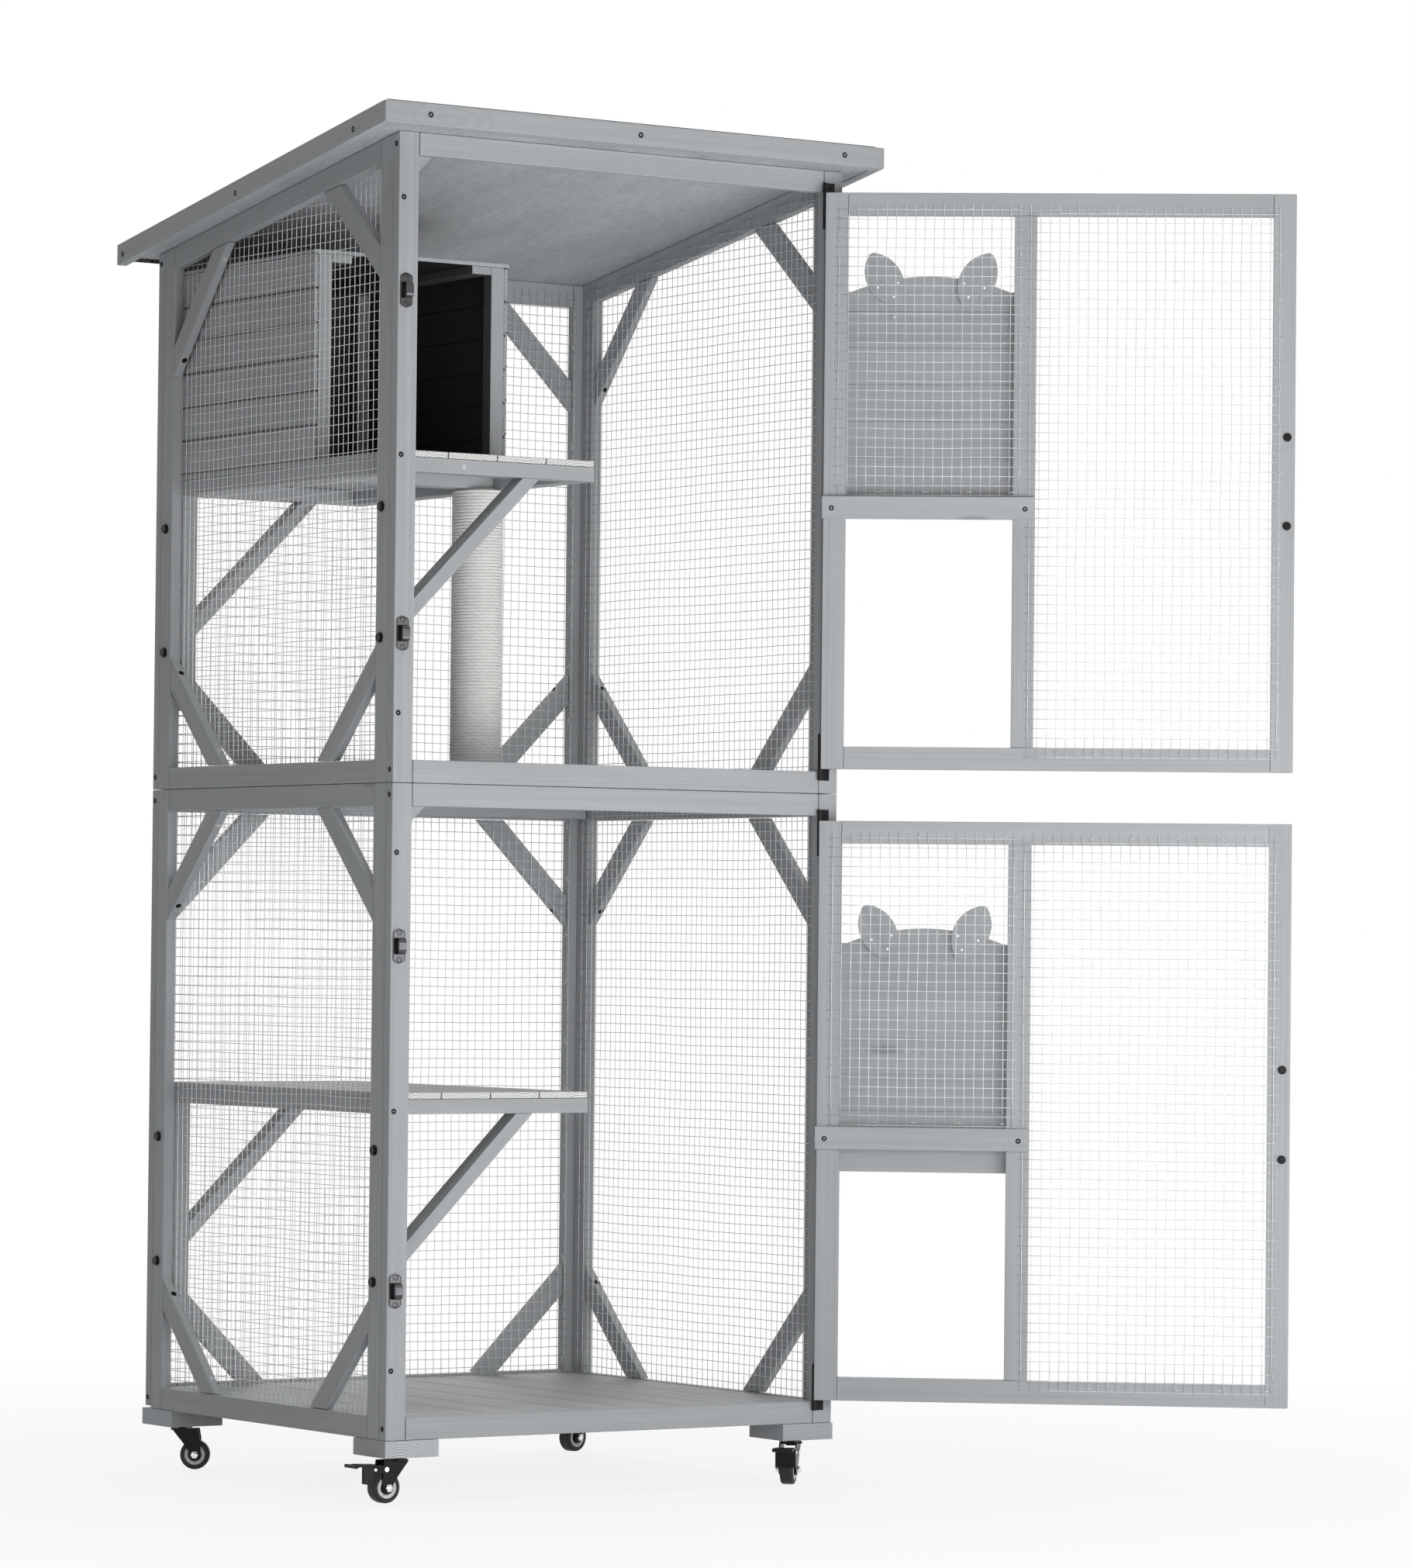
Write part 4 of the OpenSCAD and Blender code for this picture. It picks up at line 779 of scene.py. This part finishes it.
def staple(soup, point, u, v, turned):
    """Crown of a wire staple over a mesh wire, with its legs in the timber."""
    half, r = 3.2, 0.55
    jitter = random.uniform(-0.25, 0.25)
    du, dv = (math.sin(jitter), math.cos(jitter)) if turned else (math.cos(jitter), math.sin(jitter))
    a, b = (u - half * du, v - half * dv), (u + half * du, v + half * dv)
    soup.tube([point(*a, -2), point(*a, 1.1), point(*b, 1.1), point(*b, -2)], r, 5)


def staple_lines(soup, point, u0, u1, v0, top, pitch=76):
    for v_of, in ((lambda u: v0 + 5,), (lambda u: top(u) - 6,)):
        u = u0 + 18
        while u < u1 - 12:
            staple(soup, point, u + random.uniform(-5, 5), v_of(u), False)
            u += pitch
    for u in (u0 + 5, u1 - 6):
        v = v0 + 30
        while v < top(u) - 20:
            staple(soup, point, u, v + random.uniform(-6, 6), True)
            v += pitch


for section, upper in (("lower", False), ("upper", True)):
    soup, staples = Soup(), Soup()
    z0 = (SECTION_H if upper else 3) + MESH_INSET
    ya, yb = FRONT_T + MESH_INSET, BODY_D - WALL_T - MESH_INSET
    sides = (lambda u, v, d: Vector((WALL_T + d, u, v)), lambda u, v, d: Vector((BODY_W - WALL_T - d, u, v)))
    slope = lambda u: top_z(upper, u) - MESH_INSET
    for i, point in enumerate(sides):
        wire_net(soup, point, ya, yb, z0, slope, 3.1 + 5 * i + 11 * upper)
        staple_lines(staples, point, ya, yb, z0, slope)
    back = lambda u, v, d: Vector((u, BODY_D - WALL_T - d, v))
    level = lambda u: top_z(upper, BODY_D - WALL_T) - MESH_INSET
    xa = WALL_T + MESH_INSET
    wire_net(soup, back, xa, BODY_W - xa, z0, level, 21.7 + 11 * upper)
    staple_lines(staples, back, xa, BODY_W - xa, z0, level)
    soup.object(section + "_wall_mesh.wires", frame_place, wire, "root", "galvanised_wire",
                (section + "_wall_mesh",))
    staples.object(section + "_wall_mesh.staples", frame_place, wire, "root", "galvanised_wire")

for which in ("upper", "lower"):
    soup, staples = Soup(), Soup()
    inner = lambda u, v, d: Vector((u, DOOR_Y1 + d, v))
    split = DOOR_X1 - MID_STILE_U - 14
    top = lambda u: DOOR_H - 15
    panels = ((split, DOOR_X1 - 13, BATTEN_V + RAIL + 1.5), (DOOR_X0 + 15.2, split - 2, 17))
    for i, (u0, u1, v0) in enumerate(panels):
        wire_net(soup, inner, u0, u1, v0, top, 40 + 7 * i + 3 * (which == "upper"), 0.55, 0.98)
        staple_lines(staples, inner, u0, u1, v0, top, 58)
    place = door_place(which)
    soup.object(which + "_door_mesh.wires", place, wire, which + "_door", "galvanised_wire",
                (which + "_door_mesh",))
    staples.object(which + "_door_mesh.staples", place, wire, which + "_door", "galvanised_wire")


# Scratching post
POST_AT = (271, 240)


def rope_winding():
    """One unbroken rope wound close round the tube."""
    turns, sides, steps, r, outer = 93, 8, 40, 2.2, 35
    z0, z1 = PLATFORM_Z + 2.4, UPPER_SHELF_Z - SHELF_T - 2.4
    count = turns * steps
    verts, faces, uvs = [], [], []
    post_x, post_y = POST_AT
    length = 2 * math.pi * (outer - r) * MM
    for i in range(count + 1):
        a = 2 * math.pi * i / steps
        wobble = 0.25 * noise.noise(Vector((math.cos(a) * 1.5, math.sin(a) * 1.5, i / steps * 0.9)))
        ring_r = outer - r - 0.25 + wobble
        z = z0 + (z1 - z0) * i / count + 0.5 * wobble
        for k in range(sides):
            t = 2 * math.pi * k / sides
            rr = ring_r + r * math.cos(t)
            verts.append((post_x + rr * math.cos(a), post_y + rr * math.sin(a), z + r * math.sin(t)))
    for i in range(count):
        for k in range(sides):
            a, b = i * sides + k, i * sides + (k + 1) % sides
            faces.append((a, a + sides, b + sides, b))
            s0, s1 = length * i / steps, length * (i + 1) / steps
            uvs += [(s0, k / sides), (s1, k / sides), (s1, (k + 1) / sides), (s0, (k + 1) / sides)]
    faces.append(tuple(range(sides)))
    faces.append(tuple(count * sides + k for k in reversed(range(sides))))
    uvs += [(0, 0)] * (2 * sides)
    mesh = bpy.data.meshes.new("rope")
    mesh.from_pydata([frame_place @ Vector(v) for v in verts], [], faces)
    layer = mesh.uv_layers.new(name="rope")
    layer.data.foreach_set("uv", [c for uv in uvs for c in uv])
    mesh.polygons.foreach_set("use_smooth", [True] * len(faces))
    mesh.update()
    make_object("scratching_post_rope.winding", mesh, rope, "root", ("scratching_post_rope",))


rope_winding()
core, core_h = Soup(), UPPER_SHELF_Z - SHELF_T - PLATFORM_Z
core.lathe((*POST_AT, PLATFORM_Z), (0, 0, 1), [(0, 27), (0, 30.2), (core_h, 30.2), (core_h, 27)])
core.object("scratching_post_core.tube", frame_place, card, "root", "card_tube", ("scratching_post_core",))


# Screws
def screw_form():
    """Sunk head with a cross recess, its top just above z = 0."""
    bm = bmesh.new()
    n, r, recess, arm = 24, 3.6, 1.9, 0.5

    def ring(radius, z):
        return [bm.verts.new((radius * math.cos(t), radius * math.sin(t), z)) for t in angles(n)]

    low, rim, top = ring(r, -0.6), ring(r, 0.0), ring(r - 0.45, 0.3)
    for a, b in ((low, rim), (rim, top)):
        for k in range(n):
            bm.faces.new((a[k], a[(k + 1) % n], b[(k + 1) % n], b[k]))
    cross = [(recess, -arm), (recess, arm), (arm, arm), (arm, recess), (-arm, recess), (-arm, arm),
             (-recess, arm), (-recess, -arm), (-arm, -arm), (-arm, -recess), (arm, -recess), (arm, -arm)]
    edge = [bm.verts.new((x, y, 0.3)) for x, y in cross]
    deep = [bm.verts.new((x * 0.6, y * 0.6, -1.1)) for x, y in cross]
    edges = [bm.edges.get((top[k], top[(k + 1) % n])) for k in range(n)]
    edges += [bm.edges.new((edge[k], edge[(k + 1) % 12])) for k in range(12)]
    bmesh.ops.triangle_fill(bm, edges=edges, use_beauty=True, use_dissolve=False)
    for k in range(12):
        bm.faces.new((edge[k], edge[(k + 1) % 12], deep[(k + 1) % 12], deep[k]))
    bm.faces.new(deep)
    bmesh.ops.recalc_face_normals(bm, faces=bm.faces)
    bm.verts.index_update()
    data = ([v.co.copy() for v in bm.verts], [tuple(v.index for v in f.verts) for f in bm.faces])
    bm.free()
    return data


SCREW = screw_form()


def put_screw(soup, at, out, scale=1.0, sunk=0.15):
    """A screw head at a point of a face whose outward direction is out, turned at random."""
    out = Vector(out).normalized()
    turn = out.to_track_quat("Z", "Y").to_matrix().to_4x4()
    spin = Matrix.Rotation(random.uniform(0, math.pi), 4, "Z")
    soup.put(SCREW, Matrix.Translation(Vector(at) - out * sunk) @ turn @ spin @ Matrix.Scale(scale, 4))


heads = Soup()
SCREW_END, SCREW_EDGE = 89, 7.4
ROOF_Y0, ROOF_LENGTH, FASCIA_TAPER = -35, 711, 6.4
for z0 in (0, SECTION_H):
    for z in (SCREW_END, SECTION_H / 2, SECTION_H - SCREW_END):
        for x in (SCREW_EDGE, BODY_W - SCREW_EDGE):
            put_screw(heads, (x, 0, z0 + z), (0, -1, 0))
for y in (FRONT_T / 2, BODY_D - WALL_T / 2):
    for z in (15, SECTION_H - 15, SECTION_H + 17, roof_z(y) - 15):
        put_screw(heads, (0, y, z), (-1, 0, 0))
        put_screw(heads, (BODY_W, y, z), (1, 0, 0))
for x in (25, 345, 670):
    put_screw(heads, (x, ROOF_Y0, roof_z(ROOF_Y0) + 12), (0, -1, 0), 1.15)
for y in (45, 350, 660):
    z = roof_z(y) + 10 - FASCIA_TAPER * (y - ROOF_Y0) / ROOF_LENGTH
    for x, way in ((-43, -1), (735, 1)):
        put_screw(heads, (x, y, z), (way, 0, 0), 1.15)
heads.object("frame_screws.heads", frame_place, dark_zinc, "root", "black_steel", ("frame_screws",))


def brace_ends(c, a, b):
    """Places on a brace's far edge near its two ends, with the way out of the edge."""
    leg, end_in = 148, 29
    far_a, far_b = c + leg * a, c + leg * b
    way = (far_b - far_a).normalized()
    out = a + b
    return (far_a + way * end_in, out), (far_b - way * end_in, out)


plugs, brace_screws = Soup(), Soup()
PLUG, WASHER = [(0, 3.8), (0.55, 3.8), (0.7, 3.3)], [(0, 4), (0.45, 4), (0.5, 3.7)]
for upper in (False, True):
    z0 = SECTION_H if upper else 0
    slope = math.atan(ROOF_DROP / BODY_D) if upper else 0
    rail_h = RAIL / math.cos(slope)
    yc, yd = FRONT_T + 0.2 + RAIL, BODY_D - WALL_T - 0.2 - RAIL
    back_top = top_z(upper, BODY_D - WALL_T) - RAIL
    flat = Vector((math.cos(slope), -math.sin(slope)))
    up, out = Vector((0, 1)), Vector((1, 0))
    side = ((Vector((yc, z0 + RAIL)), out, up), (Vector((yd, z0 + RAIL)), -out, up),
            (Vector((yc, top_z(upper, yc) - rail_h)), flat, -up),
            (Vector((yd, top_z(upper, yd) - rail_h)), -flat, -up))
    behind = [(Vector((x, z)), way, rise) for x, way in ((RAIL, out), (BODY_W - RAIL, -out))
              for z, rise in ((z0 + RAIL, up), (back_top, -up))]
    for corners, depths in ((side, (6.5, BODY_W - 6.5)), (behind, (BODY_D - 6.5,))):
        for c, a, b in corners:
            (plug_at, n), (screw_at, n) = brace_ends(c, a, b)
            for depth in depths:
                turned = corners is side
                spots = [Vector((depth, p.x, p.y)) if turned else Vector((p.x, depth, p.y))
                         for p in (plug_at, screw_at, n)]
                facing = (spots[2] - Vector((depth, 0, 0) if turned else (0, depth, 0))).normalized()
                plugs.lathe(spots[0] - facing * 0.4, facing, PLUG, 20)
                brace_screws.lathe(spots[1] - facing * 0.4, facing, WASHER, 20)
                put_screw(brace_screws, spots[1] + facing * 0.25, facing, 0.8)
plugs.lathe((113.5, 20.6, UPPER_SHELF_Z - 18.5), (0, -1, 0), [(0, 3.8), (0.5, 3.8), (0.7, 3.4)], 24)
plugs.object("brace_plugs", frame_place, plug_wood, "root", "stained_timber")
brace_screws.object("brace_screws", frame_place, dark_zinc, "root", "black_steel")

nails = Soup()
NAIL, HOUSE_PITCH = [(0, 1.3), (0.5, 1.2), (0.7, 0.7)], 45.17
for i in range(5):
    nails.lathe((312.7, 240.3, UPPER_SHELF_Z + 4 + HOUSE_PITCH * i), (0, -1, 0), NAIL, 10)
nails.object("house_nails", frame_place, dark_zinc, "root", "black_steel")


# Keepers, hinges, handles and bolts
KEEPER_X, BOLT_V = 12, (158, 597)


def keeper_plate(soup, x, z, half_w, half_h, rows):
    """Plate with round corners and crowned ends on the face at Y = 0; rows are (height, inset)."""
    rings, corner, crown = [], 5.0, 1.6
    for y, inset in rows:
        w, h, r = half_w - inset, half_h - inset, corner - inset
        quarter = []
        for k in range(7):
            t = math.pi / 2 * k / 6
            quarter.append((w - r + r * math.cos(t), h - crown - r + r * math.sin(t)))
        quarter += [(0.5 * (w - r), h - crown * 0.25), (0, h)]
        half = quarter + [(-px, pz) for px, pz in reversed(quarter[:-1])]
        ring = half + [(-px, -pz) for px, pz in half]
        rings.append([Vector((x + px, -y, z + pz)) for px, pz in ring])
    soup.grid(rings, smooth=False)


keepers = Soup()
KEEPER_ROWS = ((0, 0), (1.1, 0), (1.6, 0.4), (1.6, 1.1), (1.0, 1.7))
KEEPER_RING = ((0, 3.9), (0.6, 3.7), (0.7, 3.3), (0, 3.1))
arch = [(0, 9.6), (-5.6, 9.4), (-7.8, 8.4), (-9.2, 6.6), (-9.7, 4.4), (-9.7, -4.4), (-9.2, -6.6),
        (-7.8, -8.4), (-5.6, -9.4), (0, -9.6)]
for foot in DOOR_FOOT.values():
    for v in BOLT_V:
        z = foot + v
        keeper_plate(keepers, KEEPER_X, z, 9, 22.5, KEEPER_ROWS)
        keepers.strap([(y, z + dz) for y, dz in arch], KEEPER_X, 5.2, 1.1)
        for dz in (-17.3, 17.3):
            keepers.hoop((KEEPER_X, -0.9, z + dz), (0, -1, 0), KEEPER_RING, 24)
            put_screw(keepers, (KEEPER_X, -1.2, z + dz), (0, -1, 0), 0.8)
keepers.object("latch_keepers.plates", frame_place, plated, "root", "black_steel", ("latch_keepers",))

hinge_screws = Soup()
HINGE_H, HINGE_PAST = 62, 15
for foot in reversed(DOOR_FOOT.values()):
    for z0 in (foot - HINGE_PAST, foot + DOOR_H + HINGE_PAST - HINGE_H):
        for dz in (7, 31, 55):
            put_screw(hinge_screws, (670.3, -2, z0 + dz), (0, -1, 0), 0.85)
hinge_screws.object("hinge_screws", frame_place, dark_zinc, "root", "black_steel")


def bow_handle(which):
    """Round bar bent twice, with flanges on the outer face and domed cross-head bolts on the inner one."""
    x, r, out, bend = DOOR_X0 + 10.3, 4.5, 26, 9
    z0, z1 = 386 - 59, 386 + 59
    handle = Soup()
    path = []
    for z, way in ((z0, 1), (z1, -1)):
        turns = [(DOOR_Y0 - out + bend * (1 - math.sin(t)), z + way * bend * (1 - math.cos(t)))
                 for t in (math.pi / 2 * k / 6 for k in range(7))]
        part = [(DOOR_Y0, z)] + turns
        path += part if way > 0 else part[::-1]
    handle.tube([(x, y, z) for y, z in path], r, 16)
    for z in (z0, z1):
        handle.lathe((x, DOOR_Y0, z), (0, -1, 0), [(0, 8), (1.4, 8), (2, 7.2), (2.4, 5)], 28)
        handle.lathe((x, DOOR_Y1, z), (0, 1, 0), [(0, 5.6), (2.0, 5.6), (2.9, 5.1), (3.1, 4.2)], 28)
        put_screw(handle, (x, DOOR_Y1 + 3.1, z), (0, 1, 0), 1.15, 0.05)
    handle.object(which + "_door_handle.bow", door_place(which), black, which + "_door", "black_steel",
                  (which + "_door_handle",))


def door_fixings(which):
    """Screws in the batten, in the hinges' door leaves and in the bolts' plates."""
    screws = Soup()
    for u in (11.4, 268.7):
        put_screw(screws, (DOOR_X1 - u, DOOR_Y1 + 9, BATTEN_V + 14), (0, 1, 0), 1.03)
    for low, high in ((1, 47), (DOOR_H - 47, DOOR_H - 1)):
        for v in (low + 7, (low + high) / 2, high - 7):
            put_screw(screws, (651.2, DOOR_Y0 - 2, v), (0, -1, 0), 0.85)
    for v in BOLT_V:
        for dx in (-9, 9):
            for dz in (-14, 14):
                put_screw(screws, (DOOR_X0 + 15 + dx, DOOR_Y0 - 1.5, v + dz), (0, -1, 0), 0.75)
    screws.object(which + "_door_screws", door_place(which), dark_zinc, which + "_door", "black_steel")


for node in ("frame_hinge_leaves", "shelf_bolts", "caster_stems"):
    plain_piece(node, black, 0.25)
for which in ("upper", "lower"):
    for node in ("door_hardware", "door_top_bolt", "door_low_bolt"):
        plain_piece(f"{which}_{node}", black, 0.3)
    bow_handle(which)
    door_fixings(which)


# Casters
CASTERS = {"front_left": (40, 40, 180), "front_right": (654, 40, 226), "rear_left": (40, 603, 326),
           "rear_right": (654, 603, 15)}
TRAIL, WHEEL_R, FORK_OUT, CHEEK_OUT = 18, 20, 12, 13.8
TYRE_HALF = [(5.6, 20), (7.2, 19.7), (8.4, 18.8), (9, 17.4), (9, 14.4), (8.7, 13.9), (8.1, 13.2)]
TYRE = [(-d, r) for d, r in reversed(TYRE_HALF)] + TYRE_HALF
HUB = ((-9.6, 5.2), (-9.4, 6), (9.4, 6), (9.6, 5.2))
RIM = ((8.2, 13.8), (8.9, 13.7), (9.15, 13.2), (9.1, 12.7), (8.7, 12.4), (8.6, 11.7), (8.85, 11.3),
       (8.9, 10.0), (8.6, 9.3), (8.0, 8.8))
NUT_DOME = [(0, 3.9), (0.8, 3.7), (1.6, 2.9), (2.1, 1.6), (2.2, 0.5)]
RACE_BALL = [(0, 0.2), (0.2, 0.5), (0.6, 0.65), (1.0, 0.5), (1.2, 0.2)]
BRAKE_RIVET, RIVET_X, RIVET_Z = [(-0.2, 2.4), (0.7, 2.2), (1.2, 1.2)], 38, 44


def caster_wheel(corner, place):
    """Tyre, a pale rim ring on each side and a hub."""
    body = corner + "_wheel"
    mid = (TRAIL, 0, WHEEL_R)
    tyre, rim = Soup(), Soup()
    tyre.lathe(mid, (0, 1, 0), TYRE, 56)
    tyre.lathe(mid, (0, 1, 0), HUB, 24)
    for side in (-1, 1):
        rim.hoop(mid, (0, side, 0), RIM, 48)
    tyre.object(body + ".tyre", place, rubber, body, "wheel_rubber", (body,))
    rim.object(body + ".rims", place, rim_grey, body, "wheel_rubber")


def caster_fork(corner, place):
    """The CAD fork with bright nuts and the balls of its race."""
    bm = cad_mesh(corner + "_fork")
    bevel_edges(bm, 0.25)
    back = place.inverted()
    for face in bm.faces:
        spot = back @ face.calc_center_median()
        outside = abs(spot.y) > FORK_OUT + 0.05 and spot.z < 50
        face.material_index = 1 if outside else 0
    mesh = to_mesh(bm, corner + "_fork")
    make_object(corner + "_fork.dressed", mesh, black, corner + "_caster", (corner + "_fork",))
    mesh.materials.append(bright)
    fittings = Soup()
    for side in (-1, 1):
        fittings.lathe((TRAIL, side * (FORK_OUT + 3.4), WHEEL_R), (0, side, 0), NUT_DOME, 24)
    for k in range(16):
        t = 2 * math.pi * (k + 0.3) / 16
        at = Vector((13 * math.cos(t), 13 * math.sin(t), 55.8))
        fittings.lathe(at, (0, 0, 1), RACE_BALL, 8)
    fittings.object(corner + "_fork.fittings", place, bright, corner + "_caster", "galvanised_wire")


for corner, (x, y, turn) in CASTERS.items():
    swivel = frame_place @ Vector((x, y, 0))
    swivel.z = 0
    place = Matrix.Translation(swivel) @ Matrix.Rotation(math.radians(turn), 4, "Z") @ Matrix.Scale(MM, 4)
    caster_wheel(corner, place)
    caster_fork(corner, place)
    if corner.startswith("front"):
        plain_piece(corner + "_brake", black, 0.25)
        rivets = Soup()
        for side in (-1, 1):
            rivets.lathe((RIVET_X, side * CHEEK_OUT, RIVET_Z), (0, side, 0), BRAKE_RIVET, 16)
        rivets.object(corner + "_brake.rivets", place, bright, corner + "_brake", "galvanised_wire")


# Camera, light and stage
camera = linked("camera", bpy.data.cameras.new("camera"))
camera.location = (-4.36802, -7.04644, 0.71828)
camera.rotation_euler = Euler([math.radians(a) for a in (91.4893, -0.5681, -33.8002)])
camera.data.sensor_fit = "VERTICAL"
camera.data.sensor_height = 36
camera.data.lens = 141.12
camera.data.clip_start, camera.data.clip_end = 0.1, 100
scene.camera = camera


def camera_white(tree, shader, output, share=None):
    """White to the camera and to mirror-like rays, the given shader to all other light. share, if given,
    is how much of what is seen is plain white."""
    rays = tree.nodes.new("ShaderNodeLightPath")
    seen = rays.outputs["Is Camera Ray"]
    for other in ("Is Glossy Ray", "Is Transmission Ray"):
        seen = math_node(tree, "MAXIMUM", seen, rays.outputs[other])
    if share is not None:
        seen = math_node(tree, "MULTIPLY", seen, share)
    kind = "ShaderNodeEmission" if output.type == "OUTPUT_MATERIAL" else "ShaderNodeBackground"
    white = add(tree, kind, Strength=1, Color=(1, 1, 1, 1))
    mixed = tree.nodes.new("ShaderNodeMixShader")
    tree.links.new(seen, mixed.inputs[0])
    tree.links.new(shader.outputs[0], mixed.inputs[1])
    tree.links.new(white.outputs[0], mixed.inputs[2])
    tree.links.new(mixed.outputs[0], output.inputs["Surface"])


world = bpy.data.worlds.new("studio")
scene.world = world
world.use_nodes = True
sky = world.node_tree
background = sky.nodes["Background"]
background.inputs["Color"].default_value = (0.97, 0.985, 1, 1)
background.inputs["Strength"].default_value = 0.10
camera_white(sky, background, sky.nodes["World Output"])

floor_mesh = bpy.data.meshes.new("floor")
floor_mesh.from_pydata([(-30, -30, 0), (30, -30, 0), (30, 30, 0), (-30, 30, 0)], [], [(0, 1, 2, 3)])
floor = linked("floor", floor_mesh)
floor_mat, floor_tree, floor_shader = new_material("floor_white")
floor_shader.inputs["Base Color"].default_value = (0.66, 0.67, 0.68, 1)
floor_shader.inputs["Roughness"].default_value = 0.9
from_middle = floor_tree.nodes.new("ShaderNodeVectorMath")
from_middle.operation = "LENGTH"
floor_tree.links.new(object_place(floor_tree), from_middle.inputs[0])
white_share = ranged(floor_tree, from_middle.outputs["Value"], 0.7, 2.4, 0.86, 1.0)
camera_white(floor_tree, floor_shader, floor_tree.nodes["Material Output"], white_share)
floor_mesh.materials.append(floor_mat)


def area_light(name, place, target, size, power):
    light = bpy.data.lights.new(name, "AREA")
    light.shape, light.size, light.energy = "SQUARE", size, power
    lamp = linked(name, light)
    lamp.location = place
    lamp.rotation_euler = (Vector(target) - Vector(place)).to_track_quat("-Z", "Y").to_euler()
    lamp.visible_camera = False


area_light("front", (0, -2.4, 0.05), (0, 0, 1.6), 3.0, 110)
area_light("top", (0, 0, 6.0), (0, 0, 0.9), 4.0, 170)
area_light("left", (-6.5, -1.5, 2.0), (0, 0, 0.9), 3.0, 22)
area_light("right", (5.5, -3.5, 2.0), (0, 0, 0.9), 3.0, 15)
area_light("rear", (2.5, 6.0, 3.0), (0, 0, 0.9), 4.0, 110)

scene.view_settings.view_transform = "Standard"
